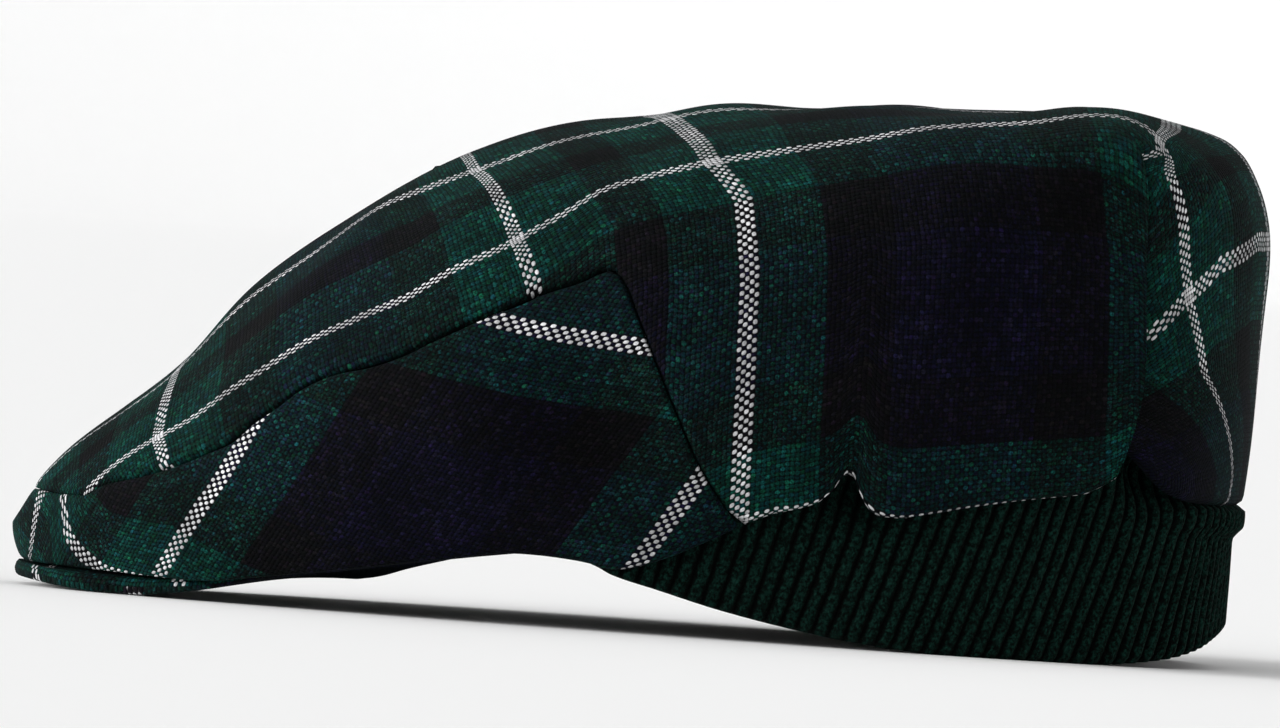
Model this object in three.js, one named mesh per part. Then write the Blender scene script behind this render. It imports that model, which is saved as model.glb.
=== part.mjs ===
// A tartan flat cap with a ribbed knit band, as it rests on a table.
// Millimetres, +Z up. The peak points along -X, and the wearer's left side faces -Y.
import * as THREE from 'three';

// Plan of the crown: two half superellipses that meet where the cap is widest
const WIDEST_X = 25;
const FRONT_LENGTH = 163.8;
const BACK_LENGTH = 113.8;
const HALF_WIDTH = 99;
const FRONT_ROUNDNESS = 2.1;
const BACK_ROUNDNESS = 2.7;
// The middle line of the crown that all its sections start from
const SPINE_FRONT = 75;
const SPINE_BACK = 60;

// Thicknesses and gaps
const CLOTH = 2;
// Width of the cloth measured level, where it slants in to the hem
const SLANTED_CLOTH = 2.5;
const PEAK_PLATE = 3.4;
const KNIT = 3;
const SEAM_GAP = 0.35;
const CENTRE_GAP = 0.35;
// The cheek's last section lies this far ahead of the corner where its seam meets the hem
const CHEEK_TIP = 3;

// The fold at each back corner, where the wing laps over the back flap; its reach, the lap and the gap
// are angles in degrees, the other sizes millimetres
const DART_X = 109;
const DART_TOP_Z = 112;
const DART_REACH = 17;
const WING_FLARE = 5;
const FLAP_TUCK = 3;
const FLAP_LAP = 5.5;
const DART_GAP = 0.2;
// The slit is fully open at this height, and the flap goes under once it is this open
const DART_OPEN_Z = 40;
const LAP_FROM = 0.45;

// The knit band: its ribs lean back, less so over the last stretch to the middle of the back
const BAND_START_X = -15;
const RIB_PITCH = 3.7;
const RIB_DEPTH = 0.9;
const RIB_LEAN = Math.tan(THREE.MathUtils.degToRad(16));
const RIB_UPRIGHT_OVER = 60;
const BAND_CURL = 1.5;

// The peak
const PEAK_END_X = -28;
const HEAD_CENTRE_X = 32;
const HEAD_HALF_LENGTH = 104;
const HEAD_HALF_WIDTH = 80;
// The peak's inner edge follows the head's oval, and this share of the outer edge's angle
const FOREHEAD_SHARE = 0.86;
const PEAK_TEMPLE_NARROWING = 0.65;

// Angles of the sections in degrees from the nose, closer together at the down seam and the dart
const WING_STATIONS = [
  0, 7, 14, 21, 27, 33, 39, 45, 50, 55, 60, 65, 69, 73, 76,
  78.4, 80.5, 82.5, 84.5, 86.5, 88.5, 91, 94, 98, 102, 106, 110, 114, 118, 122, 125.5, 128.8,
];
const FLAP_STATIONS = [134, 137, 141, 146, 151, 157, 163, 169, 175, 180];

// Rows of faces from edge to edge
const CROWN_ROWS = 12;
const CHEEK_ROWS = 6;
const PEAK_STEPS = 44;
const PEAK_ROWS = 4;
const BAND_ROWS = 4;

// Height of the crown's middle line, from the nose to the back
const RIDGE = [
  { x: -139, z: 13.6 },
  { x: -131.7, z: 25.8 },
  { x: -116.9, z: 41.1 },
  { x: -102.2, z: 55.2 },
  { x: -87.4, z: 70.5 },
  { x: -72.6, z: 84.2 },
  { x: -57.6, z: 95.4 },
  { x: -42.5, z: 104.1 },
  { x: -27.1, z: 109.7 },
  { x: -11.5, z: 113.5 },
  { x: 35.4, z: 119.6 },
  { x: 60, z: 120.6 },
  { x: 82.6, z: 121.4 },
  { x: 98, z: 121.9 },
  { x: 108, z: 122.1 },
  { x: 118, z: 122 },
  { x: 126, z: 121.9 },
  { x: 131, z: 121 },
  { x: 135, z: 118.5 },
  { x: 139, z: 115.5 },
];

// Shape of the crown's sections, by where each one meets the plan outline:
// how square the shoulder is, the height of the widest line, and how far the hem draws in below it
const SECTION = [
  { x: -139, square: 2, widest: 13.6, drawn: 2.5 },
  { x: -120, square: 2, widest: 16, drawn: 3.5 },
  { x: -100, square: 2, widest: 23, drawn: 5 },
  { x: -60, square: 2.1, widest: 38, drawn: 7 },
  { x: -20, square: 2.4, widest: 48, drawn: 8 },
  { x: 25, square: 2.7, widest: 60, drawn: 8 },
  { x: 50, square: 3.3, widest: 63, drawn: 8 },
  { x: 72, square: 4.6, widest: 66, drawn: 8 },
  { x: 90, square: 5.6, widest: 69, drawn: 8 },
  { x: 105, square: 6, widest: 72, drawn: 7 },
  { x: 120, square: 5.6, widest: 74.5, drawn: 4.8 },
  { x: 130, square: 5, widest: 76, drawn: 3.5 },
  { x: 139, square: 4.6, widest: 78, drawn: 2.2 },
];

// Lower edge of all the cloth, round the cheeks, the wings and the back flap
const HEM = [
  { x: -139, z: 6.6 },
  { x: -130, z: 5.2 },
  { x: -121, z: 4.5 },
  { x: -110, z: 4.1 },
  { x: -97, z: 3.3 },
  { x: -90.6, z: 4.2 },
  { x: -67.2, z: 8.2 },
  { x: -43.8, z: 12.3 },
  { x: -28.2, z: 14.9 },
  { x: -12.4, z: 14.4 },
  { x: -7, z: 13.3 },
  { x: -1.8, z: 14.1 },
  { x: 6.6, z: 16.9 },
  { x: 17.5, z: 22 },
  { x: 23.6, z: 25 },
  { x: 37.2, z: 29.9 },
  { x: 47.6, z: 35.8 },
  { x: 56.4, z: 30.6 },
  { x: 73.2, z: 31.8 },
  { x: 102.1, z: 37.9 },
  { x: 108.9, z: 42.5 },
  { x: 109.1, z: 38.5 },
  { x: 118.9, z: 39 },
  { x: 131, z: 37 },
  { x: 139, z: 33.5 },
];

// Seam between the top panel and the cheeks, ending on the hem at the wing's front corner
const SEAM = [
  { x: -139, z: 19.2 },
  { x: -133.7, z: 19.4 },
  { x: -122.4, z: 22 },
  { x: -105.9, z: 28.6 },
  { x: -87.3, z: 36.4 },
  { x: -70, z: 47.1 },
  { x: -48.4, z: 59.9 },
  { x: -35.4, z: 68.3 },
  { x: -23.5, z: 75.2 },
  { x: -8.8, z: 80.8 },
  { x: 1, z: 63.4 },
  { x: 6.8, z: 51.4 },
  { x: 14.2, z: 37.3 },
  { x: 23.6, z: 25 },
];

// The bulges and hollows fade out over this width beside the middle line
const SWELLS_FADE_WIDTH = 55;

// Soft bulges and hollows of the cloth on both sides, by place, reach and height
const SWELLS = [
  { name: 'cheek bulge', x: -40, z: 50, reach: 26, height: 3 },
  { name: 'hollow by the down seam', x: -7, z: 44, reach: 17, height: -3.5 },
  { name: 'puff of the wing', x: 60, z: 82, reach: 34, height: 2.2 },
  { name: 'gather before the notch', x: 39, z: 33, reach: 8, height: 1.6 },
  { name: 'gather behind the notch', x: 57, z: 34, reach: 9, height: 1.8 },
  { name: 'back shoulder', x: 98, z: 120, reach: 17, height: 2.4 },
  { name: 'sag before the back shoulder', x: 70, z: 118, reach: 16, height: -1.2 },
  { name: 'pull above the peak', x: -98, z: 33, reach: 12, height: -1.5 },
];

// Knit band: its lower edge, its hidden upper edge, its distance inside the cloth at the top,
// and how far it draws in below that towards the head
const BAND = [
  { x: -16, bottom: 16.2, top: 26, inside: 0.5, drawn: 0 },
  { x: -11, bottom: 14.6, top: 26, inside: 0.5, drawn: 0.7 },
  { x: -6.6, bottom: 12.7, top: 26, inside: 0.5, drawn: 1.3 },
  { x: 3.7, bottom: 10.2, top: 28, inside: 0.5, drawn: 3 },
  { x: 19.7, bottom: 6.6, top: 34, inside: 0.5, drawn: 4.5 },
  { x: 35.7, bottom: 3.9, top: 41, inside: 0.5, drawn: 5.5 },
  { x: 51.6, bottom: 1.8, top: 45, inside: 0.5, drawn: 6 },
  { x: 67.5, bottom: 0.4, top: 46, inside: 0.5, drawn: 6 },
  { x: 74, bottom: 0, top: 46.5, inside: 0.6, drawn: 6 },
  { x: 95, bottom: 0, top: 48, inside: 1.4, drawn: 5 },
  { x: 107, bottom: 0, top: 49, inside: 2.8, drawn: 3.6 },
  { x: 112, bottom: 0, top: 49, inside: 2.6, drawn: 3.2 },
  { x: 119, bottom: 0.6, top: 49, inside: 1.6, drawn: 2.6 },
  { x: 127, bottom: 2, top: 49, inside: 1, drawn: 1.7 },
  { x: 133, bottom: 4, top: 49, inside: 0.6, drawn: 1 },
  { x: 137, bottom: 6.8, top: 49, inside: 0.5, drawn: 0 },
  { x: 139, bottom: 10.5, top: 49, inside: 0.5, drawn: -0.5 },
];

// Peak: its lower face at the outer edge, its rise towards the forehead,
// and how far the edge lies inside the cloth's hem (less than nothing stands proud)
const PEAK = [
  { x: -139, z: 1.7, rise: 8, inset: -1.7 },
  { x: -130, z: 0.5, rise: 8, inset: -1.6 },
  { x: -124, z: 0, rise: 7.5, inset: -0.6 },
  { x: -117, z: 0, rise: 7, inset: 3.1 },
  { x: -106, z: 1.5, rise: 6, inset: 3.1 },
  { x: -97, z: 3.4, rise: 5, inset: 3.1 },
  { x: -90, z: 5.4, rise: 4, inset: 3.1 },
  { x: -67, z: 9.5, rise: 3, inset: 3.1 },
  { x: -44, z: 13.5, rise: 2, inset: 3.1 },
  { x: -28, z: 15.9, rise: 1, inset: 3.1 },
];

// A smooth curve through one column of a table, which never overshoots its rows
function lookup(table, column, x) {
  const last = table.length - 1;
  if (x <= table[0].x) return table[0][column];
  if (x >= table[last].x) return table[last][column];
  let i = 0;
  while (x > table[i + 1].x) i += 1;
  const chord = (k) => (table[k + 1][column] - table[k][column]) / (table[k + 1].x - table[k].x);
  const slope = (k) => {
    if (k === 0) return chord(0);
    if (k === last) return chord(last - 1);
    const before = chord(k - 1);
    const after = chord(k);
    return before * after > 0 ? (2 * before * after) / (before + after) : 0;
  };
  const width = table[i + 1].x - table[i].x;
  const s = (x - table[i].x) / width;
  const start = table[i][column];
  const end = table[i + 1][column];
  const blend = s * s * (3 - 2 * s);
  const lead = s * (1 - s) * (1 - s) * width * slope(i);
  const trail = s * s * (1 - s) * width * slope(i + 1);
  return start + (end - start) * blend + lead - trail;
}

// The plan outline at an angle in degrees, 0 at the nose and 180 at the back
function outlineAt(angle) {
  const turn = THREE.MathUtils.degToRad(angle);
  const along = Math.cos(turn);
  const across = Math.sin(turn);
  const length = along > 0 ? FRONT_LENGTH : BACK_LENGTH;
  const power = 2 / (along > 0 ? FRONT_ROUNDNESS : BACK_ROUNDNESS);
  return {
    x: WIDEST_X - Math.sign(along) * length * Math.abs(along) ** power,
    y: HALF_WIDTH * Math.abs(across) ** power,
  };
}

// The angle at which the plan outline reaches a given x
function angleAtX(x) {
  const ahead = WIDEST_X - x;
  const length = ahead > 0 ? FRONT_LENGTH : BACK_LENGTH;
  const roundness = ahead > 0 ? FRONT_ROUNDNESS : BACK_ROUNDNESS;
  const along = Math.sign(ahead) * (Math.abs(ahead) / length) ** (roundness / 2);
  return THREE.MathUtils.radToDeg(Math.acos(along));
}

// Where the section of an angle leaves the crown's middle line
function spineAt(angle) {
  const share = 1 - angle / 90;
  return WIDEST_X - share * (share > 0 ? SPINE_FRONT : SPINE_BACK);
}

// A point of the plain crown: fall runs 0 to 1 from the middle line to the widest line,
// and on to 2 at the hem
function plainCrown(angle, fall) {
  const out = outlineAt(angle);
  const spineX = spineAt(angle);
  const reach = Math.hypot(out.x - spineX, out.y);
  const square = lookup(SECTION, 'square', out.x);
  const widest = lookup(SECTION, 'widest', out.x);
  const over = THREE.MathUtils.degToRad(90 * Math.min(fall, 1));
  const below = Math.max(fall - 1, 0);
  const spread = Math.sin(over) ** (2 / square);
  const drawn = lookup(SECTION, 'drawn', out.x) * below ** 2 / reach;
  const ratio = spread - drawn;
  const x = spineX + (out.x - spineX) * ratio;
  const y = out.y * ratio;
  const shoulder = Math.cos(over) ** (2 / square);
  const drop = (lookup(RIDGE, 'z', out.x) - widest) * (1 - shoulder);
  const ridge = lookup(RIDGE, 'z', below > 0 ? out.x : x);
  const z = ridge - drop - below * (widest - lookup(HEM, 'z', out.x));
  return new THREE.Vector3(x, y, z);
}

// Outward normal of a surface given as a function of an angle and a fall, from its small changes
function normalOf(surface, angle, fall) {
  const turn = 0.6;
  const step = 0.02;
  const least = 0.001;
  const before = surface(Math.max(angle - turn, least), fall);
  const after = surface(Math.min(angle + turn, 180 - least), fall);
  const above = surface(angle, Math.max(fall - step, least));
  const below = surface(angle, Math.min(fall + step, 2));
  const alongEdge = after.sub(before);
  return alongEdge.cross(below.sub(above)).normalize();
}

// How far the bulges and hollows push a point of the cloth outwards
function swellAt(point) {
  let push = 0;
  for (const swell of SWELLS) {
    const distance = Math.hypot(point.x - swell.x, point.z - swell.z) / swell.reach;
    push += swell.height * Math.exp(-distance * distance);
  }
  const inwards = THREE.MathUtils.smoothstep(point.y, 0, SWELLS_FADE_WIDTH);
  return push * inwards;
}

function crownPoint(angle, fall) {
  const point = plainCrown(angle, fall);
  const normal = normalOf(plainCrown, angle, fall);
  return point.addScaledVector(normal, swellAt(point));
}

// The cloth's outer and inner face at one place, with an extra push outwards
function clothPair(angle, fall, push = 0) {
  const normal = normalOf(crownPoint, angle, fall);
  const outer = crownPoint(angle, fall).addScaledVector(normal, push);
  return { outer, inner: outer.clone().addScaledVector(normal, -CLOTH) };
}

// The fall at which a section first comes down to a line given as a height for each x
function fallToLine(angle, heightAt) {
  const steps = 200;
  for (let i = 1; i <= steps; i += 1) {
    const point = crownPoint(angle, (2 * i) / steps);
    if (point.z <= heightAt(point.x)) return (2 * i) / steps;
  }
  return 2;
}

// Falls spaced evenly along the cloth between two falls of one section
function evenFalls(angle, from, to, rows) {
  const samples = 80;
  const lengths = [0];
  let previous = crownPoint(angle, from);
  for (let i = 1; i <= samples; i += 1) {
    const point = crownPoint(angle, from + ((to - from) * i) / samples);
    lengths.push(lengths[i - 1] + point.distanceTo(previous));
    previous = point;
  }
  const falls = [];
  let k = 0;
  for (let row = 0; row <= rows; row += 1) {
    const wanted = (lengths[samples] * row) / rows;
    while (k < samples - 1 && lengths[k + 1] < wanted) k += 1;
    const part = (wanted - lengths[k]) / (lengths[k + 1] - lengths[k]);
    falls.push(from + ((to - from) * (k + part)) / samples);
  }
  return falls;
}

// A closed body from columns of outer and inner points: both faces, and a wall round every free edge
function closedSheet(columns) {
  const pairs = [];
  const places = new Map();
  const indexOf = (pair) => {
    const key = pair.outer.toArray().map((value) => Math.round(value * 1000)).join();
    if (!places.has(key)) {
      places.set(key, pairs.length);
      pairs.push(pair);
    }
    return places.get(key);
  };
  const grid = columns.map((column) => column.map(indexOf));
  const faces = [];
  const addFace = (a, b, c) => {
    if (a !== b && b !== c && c !== a) faces.push([a, b, c]);
  };
  for (let i = 0; i < grid.length - 1; i += 1) {
    for (let j = 0; j < grid[i].length - 1; j += 1) {
      addFace(grid[i][j], grid[i + 1][j], grid[i + 1][j + 1]);
      addFace(grid[i][j], grid[i + 1][j + 1], grid[i][j + 1]);
    }
  }
  const count = pairs.length;
  const edges = new Set(faces.flatMap(([a, b, c]) => [`${a} ${b}`, `${b} ${c}`, `${c} ${a}`]));
  const indices = faces.flatMap(([a, b, c]) => [a, b, c, c + count, b + count, a + count]);
  for (const edge of edges) {
    const [a, b] = edge.split(' ').map(Number);
    if (!edges.has(`${b} ${a}`)) indices.push(b, a, a + count, b, a + count, b + count);
  }
  const points = [...pairs.map((pair) => pair.outer), ...pairs.map((pair) => pair.inner)];
  return outwardGeometry(points, indices);
}

// The geometry with its faces turned outwards
function outwardGeometry(points, indices) {
  let volume = 0;
  for (let i = 0; i < indices.length; i += 3) {
    const [a, b, c] = [0, 1, 2].map((k) => points[indices[i + k]]);
    volume += a.dot(b.clone().cross(c));
  }
  const geometry = new THREE.BufferGeometry().setFromPoints(points);
  geometry.setIndex(volume > 0 ? indices : indices.toReversed());
  geometry.computeVertexNormals();
  return geometry;
}

function mirrored(pair) {
  const flip = new THREE.Vector3(1, -1, 1);
  return { outer: pair.outer.clone().multiply(flip), inner: pair.inner.clone().multiply(flip) };
}

// The dart: how far its slit has opened at a point, 0 above the dart and 1 at the hem
function dartOpening(point) {
  return THREE.MathUtils.smoothstep(DART_TOP_Z - point.z, 0, DART_TOP_Z - DART_OPEN_Z);
}

// One column of the top panel; beside the dart the wing stands proud and the flap is tucked under it
function crownColumn(angle, part) {
  const lineAt = (x) => (x < SEAM.at(-1).x ? lookup(SEAM, 'z', x) : 0);
  const end = angle > angleAtX(SEAM.at(-1).x) ? 2 : fallToLine(angle, lineAt);
  const dartAngle = angleAtX(DART_X);
  const away = Math.abs(angle - dartAngle) / DART_REACH;
  const near = Math.max(1 - away, 0) ** 2;
  return evenFalls(angle, 0, end, CROWN_ROWS).map((fall) => {
    const opening = dartOpening(crownPoint(angle, fall));
    if (part === 'wing') {
      const shift = opening > 0 ? DART_GAP * near : 0;
      return clothPair(angle - shift, fall, WING_FLARE * opening * near);
    }
    const lap = FLAP_LAP * THREE.MathUtils.smoothstep(opening, LAP_FROM, 1);
    const shift = opening > 0 ? (DART_GAP - lap) * near : 0;
    return clothPair(angle + shift, fall, -FLAP_TUCK * opening * near);
  });
}

function makeTopPanel() {
  const dartAngle = angleAtX(DART_X);
  const side = [
    ...[...WING_STATIONS, dartAngle].map((angle) => crownColumn(angle, 'wing')),
    ...[dartAngle, ...FLAP_STATIONS].map((angle) => crownColumn(angle, 'flap')),
  ];
  const right = side.map((column) => column.map(mirrored)).toReversed();
  return closedSheet([...side, ...right.slice(1)]);
}

// The steepness of the seam widens the gap that is measured down a section
function seamGapAt(x) {
  const slope = (lookup(SEAM, 'z', x + 1) - lookup(SEAM, 'z', x - 1)) / 2;
  return SEAM_GAP * Math.hypot(1, slope);
}

function makeCheek(isLeft) {
  const stations = WING_STATIONS.filter((angle) => outlineAt(angle).x < SEAM.at(-1).x - CHEEK_TIP);
  const columns = [];
  for (const angle of stations) {
    const top = fallToLine(angle, (x) => lookup(SEAM, 'z', x) - seamGapAt(x));
    columns.push(evenFalls(angle, top, 2, CHEEK_ROWS).map((fall) => {
      const pair = clothPair(angle, fall);
      pair.outer.y = Math.max(pair.outer.y, CENTRE_GAP);
      pair.inner.y = Math.max(pair.inner.y, CENTRE_GAP);
      return isLeft ? mirrored(pair) : pair;
    }));
  }
  return closedSheet(columns);
}

// The plan outline of the hem, moved inwards by an inset
function hemPoint(angle, inset) {
  const out = outlineAt(angle);
  const spineX = spineAt(angle);
  const reach = Math.hypot(out.x - spineX, out.y);
  const ratio = 1 - (lookup(SECTION, 'drawn', out.x) + inset) / reach;
  return new THREE.Vector3(spineX + (out.x - spineX) * ratio, out.y * ratio, 0);
}

function makePeak() {
  const endAngle = angleAtX(PEAK_END_X);
  const columns = [];
  for (let i = -PEAK_STEPS / 2; i <= PEAK_STEPS / 2; i += 1) {
    const turn = (2 * i) / PEAK_STEPS;
    const angle = Math.abs(turn) * endAngle;
    const x = outlineAt(angle).x;
    const outer = hemPoint(angle, lookup(PEAK, 'inset', x));
    const headTurn = THREE.MathUtils.degToRad(angle * FOREHEAD_SHARE);
    const forehead = new THREE.Vector3(
      HEAD_CENTRE_X - HEAD_HALF_LENGTH * Math.cos(headTurn),
      HEAD_HALF_WIDTH * Math.sin(headTurn),
      0,
    );
    const narrowing = 1 - PEAK_TEMPLE_NARROWING * turn ** 4;
    const column = [];
    for (let j = 0; j <= PEAK_ROWS; j += 1) {
      const inwards = j / PEAK_ROWS;
      const bottom = outer.clone().lerp(forehead, inwards * narrowing);
      bottom.y *= Math.sign(turn);
      bottom.z = lookup(PEAK, 'z', x) + lookup(PEAK, 'rise', x) * Math.sin((inwards * Math.PI) / 2);
      const top = bottom.clone();
      top.z += PEAK_PLATE;
      column.push({ outer: top, inner: bottom });
    }
    columns.push(column);
  }
  return closedSheet(columns);
}

// Lengths along the hem, from the front end of the band to the middle of the back
function bandPath() {
  const from = angleAtX(BAND_START_X);
  const steps = 400;
  const path = [{ angle: from, length: 0 }];
  let previous = hemPoint(from, SLANTED_CLOTH);
  for (let i = 1; i <= steps; i += 1) {
    const angle = from + ((180 - from) * i) / steps;
    const point = hemPoint(angle, SLANTED_CLOTH);
    path.push({ angle, length: path[i - 1].length + point.distanceTo(previous) });
    previous = point;
  }
  return path;
}

function angleAtLength(path, length) {
  const wanted = THREE.MathUtils.clamp(length, 0, path.at(-1).length);
  let i = 0;
  while (i < path.length - 2 && path[i + 1].length < wanted) i += 1;
  const part = (wanted - path[i].length) / (path[i + 1].length - path[i].length);
  return path[i].angle + (path[i + 1].angle - path[i].angle) * part;
}

// A point of the band's smooth outer face; level runs from 0 at its lower edge to 2 at its upper edge
function bandPoint(angle, level) {
  const x = outlineAt(angle).x;
  const up = level / 2;
  const drawn = lookup(BAND, 'drawn', x) * (1 - up) ** BAND_CURL;
  const point = hemPoint(angle, SLANTED_CLOTH + lookup(BAND, 'inside', x) + drawn);
  point.z = THREE.MathUtils.lerp(lookup(BAND, 'bottom', x), lookup(BAND, 'top', x), up);
  return point;
}

function makeKnitBand() {
  const path = bandPath();
  const halfLength = path.at(-1).length;
  const ribs = Math.round(halfLength / RIB_PITCH);
  const half = [];
  for (let k = 0; k <= 2 * ribs; k += 1) {
    const foot = (halfLength * k) / (2 * ribs);
    const low = bandPoint(angleAtLength(path, foot), 0).z;
    const upright = THREE.MathUtils.clamp((halfLength - foot) / RIB_UPRIGHT_OVER, 0, 1);
    const groove = k % 2 === 0 ? 0 : RIB_DEPTH;
    const column = [];
    for (let j = 0; j <= BAND_ROWS; j += 1) {
      const level = (2 * j) / BAND_ROWS;
      const rise = bandPoint(angleAtLength(path, foot), level).z - low;
      const angle = angleAtLength(path, foot + rise * RIB_LEAN * upright);
      const normal = normalOf((a, l) => bandPoint(a, 2 - l), angle, 2 - level).setZ(0).normalize();
      const outer = bandPoint(angle, level).addScaledVector(normal, -groove);
      const inner = bandPoint(angle, level).addScaledVector(normal, -KNIT);
      outer.z = inner.z = bandPoint(angle, level).z;
      column.push({ outer, inner });
    }
    half.push(column);
  }
  const other = half.map((column) => column.map(mirrored)).toReversed();
  return closedSheet([...half, ...other.slice(1)]);
}

function cloth(color) {
  return new THREE.MeshStandardMaterial({ color, roughness: 0.95, metalness: 0 });
}

function addPiece(group, name, geometry, material) {
  const mesh = new THREE.Mesh(geometry, material);
  mesh.name = name;
  group.add(mesh);
}

const tartan = cloth(0x14302d);
const cap = new THREE.Group();
addPiece(cap, 'top_panel', makeTopPanel(), tartan);
addPiece(cap, 'side_panel_left', makeCheek(true), tartan);
addPiece(cap, 'side_panel_right', makeCheek(false), tartan);
addPiece(cap, 'peak', makePeak(), tartan);
addPiece(cap, 'knit_band', makeKnitBand(), cloth(0x081410));

// The origin is under the middle of the cap, on the surface that it rests on
const extent = new THREE.Box3().setFromObject(cap);
const middle = extent.getCenter(new THREE.Vector3());
cap.position.set(-middle.x, -middle.y, -extent.min.z);

export default cap;
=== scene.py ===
import math

import bmesh
import bpy
import numpy as np
from mathutils import Matrix, Vector


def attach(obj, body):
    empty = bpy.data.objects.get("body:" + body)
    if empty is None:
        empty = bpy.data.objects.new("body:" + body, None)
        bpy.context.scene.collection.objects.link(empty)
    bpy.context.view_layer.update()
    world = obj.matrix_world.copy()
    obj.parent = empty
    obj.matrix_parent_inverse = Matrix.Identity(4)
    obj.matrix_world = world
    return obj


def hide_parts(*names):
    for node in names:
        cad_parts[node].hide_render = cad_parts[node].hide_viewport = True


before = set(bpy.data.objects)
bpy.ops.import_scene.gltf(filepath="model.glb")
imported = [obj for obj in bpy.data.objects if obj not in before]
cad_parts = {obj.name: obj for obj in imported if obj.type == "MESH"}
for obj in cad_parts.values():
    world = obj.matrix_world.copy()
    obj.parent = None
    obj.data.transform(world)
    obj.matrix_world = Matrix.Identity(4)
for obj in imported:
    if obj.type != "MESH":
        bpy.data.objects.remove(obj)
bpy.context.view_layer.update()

bl_info = {
    "name": "Tartan flat cap with a knit band",
    "version": (1, 0, 0),
    "blender": (4, 5, 0),
    "location": "View3D > Sidebar > Flat Cap",
    "description": "Builds the cloth panels, peak, knit band and studio of a tartan flat cap",
    "category": "Object",
}

MM = 0.001

# The point that the camera looks at, and how far it sees, in metres
CAMERA_TARGET = (-0.0009, 0.0, 0.059)
CAMERA_SEES = 100.0

# Plan of the crown, in millimetres: two half superellipses that meet where the cap is widest
WIDEST_X = 25.0
FRONT_LENGTH = 163.8
BACK_LENGTH = 113.8
HALF_WIDTH = 99.0
FRONT_ROUNDNESS = 2.1
BACK_ROUNDNESS = 2.7
SPINE_FRONT = 75.0
SPINE_BACK = 60.0

# The dart at each back corner
DART_X = 109.0
DART_TOP_Z = 112.0
DART_OPEN_Z = 40.0
DART_REACH = 17.0
WING_FLARE = 4.6
FLAP_TUCK = 3.0
FLAP_LAP = 5.5
LAP_FROM = 0.45
POCKET_RISE = 10.5
POCKET_END_X = 120.0

# Degrees between the wing and the flap along the open dart
DART_SLIT = 0.1

# Grid of the top panel: rows down the cloth, then columns before, in and behind the notch, and on the flap
CROWN_ROWS = 112
NOTCH_X = (40.0, 58.0)
WING_COLUMNS = (76, 22, 28)
FLAP_COLUMNS = 48

# The cheeks' grid, and how far under the top panel's edge they begin
CHEEK_COLUMNS = 96
CHEEK_ROWS = 64
SEAM_GAP = 0.12
FALL_PER_MM = 0.004
LAST_FALL = 1.995

# The knit band, with grid points for each rib and rows up the band
BAND_START_X = -15.0
SLANTED_CLOTH = 2.5
BAND_CURL = 1.5
RIB_UPRIGHT_OVER = 60.0
RIB_POINTS = 10
BAND_ROWS = 36
RIB_SQUARENESS = 0.8
STITCH_ROW = 1.7

# The peak
PEAK_END_X = -28.0
HEAD_CENTRE_X = 32.0
HEAD_HALF_LENGTH = 104.0
HEAD_HALF_WIDTH = 80.0
FOREHEAD_SHARE = 0.86
PEAK_TEMPLE_NARROWING = 0.65
PEAK_PLATE = 3.8
PEAK_EDGE = 1.4
PEAK_RIM = 0.12
HEM_REST = 0.15
LIP_STRIPE = 114.0
PEAK_COLUMNS = 161
PEAK_ROWS = 40
PEAK_ROW_POWER = 1.5
# Where the peak's upper face dips under the cheeks' hem, as distances inside it:
# dips from and to, rises from and to
PEAK_DIP = (-0.9, -0.1, 2.1, 4.5)
# Thread numbers that the weave of the peak's two faces starts from
LIP_TOP_THREAD = 12
LIP_UNDER_THREADS = (10, 24)

# Height of the crown's middle line: x, z
RIDGE = np.array([
    (-139, 13.6), (-131.7, 25.8), (-116.9, 41.1), (-102.2, 55.2), (-87.4, 70.5),
    (-72.6, 84.2), (-57.6, 95.4), (-42.5, 104.1), (-27.1, 109.7), (-11.5, 113.5),
    (35.4, 119.6), (60, 120.6), (82.6, 121.4), (98, 121.9), (108, 122.1), (118, 122),
    (126, 121.9), (131, 121), (135, 118.5), (139, 115.5),
])

# Sections of the crown: x, how square the shoulder is, height of the widest line, draw-in at the hem
SECTION = np.array([
    (-139, 2, 13.6, 2.5), (-120, 2, 16, 3.5), (-100, 2, 23, 5), (-60, 2.1, 38, 7),
    (-20, 2.4, 48, 8), (25, 2.7, 60, 8), (50, 3.3, 63, 8), (72, 4.6, 66, 8), (90, 5.6, 69, 8),
    (105, 6, 72, 7), (120, 5.6, 74.5, 4.8), (130, 5, 76, 3.5), (139, 4.6, 78, 2.2),
])
SQUARE, WIDEST, DRAWN = 1, 2, 3

# Lower edge of all the cloth: x, z
HEM = np.array([
    (-139, 5.2), (-134, 4.6), (-127, 4.4), (-119, 4.2), (-112, 4), (-105, 4), (-97, 4.3), (-90.6, 5.2),
    (-67.2, 9.2), (-43.8, 13.2), (-28.2, 15.5), (-12.4, 14.7), (-7, 13.5), (-1.8, 14.2),
    (6.6, 16.9), (17.5, 22), (23.6, 25), (30, 28), (37.4, 30.2), (41.6, 32), (44.1, 34), (46.4, 37),
    (48.1, 38.2), (49.7, 37.4), (51, 35), (52.9, 32), (54.8, 30.5), (57.5, 30), (60.5, 30), (66.3, 30.8),
    (73.2, 31.8), (102.1, 37.9), (108.9, 42.5), (109.1, 38.5), (118.9, 38.4), (124.5, 37), (131, 36.7),
    (139, 36.8),
])

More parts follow.
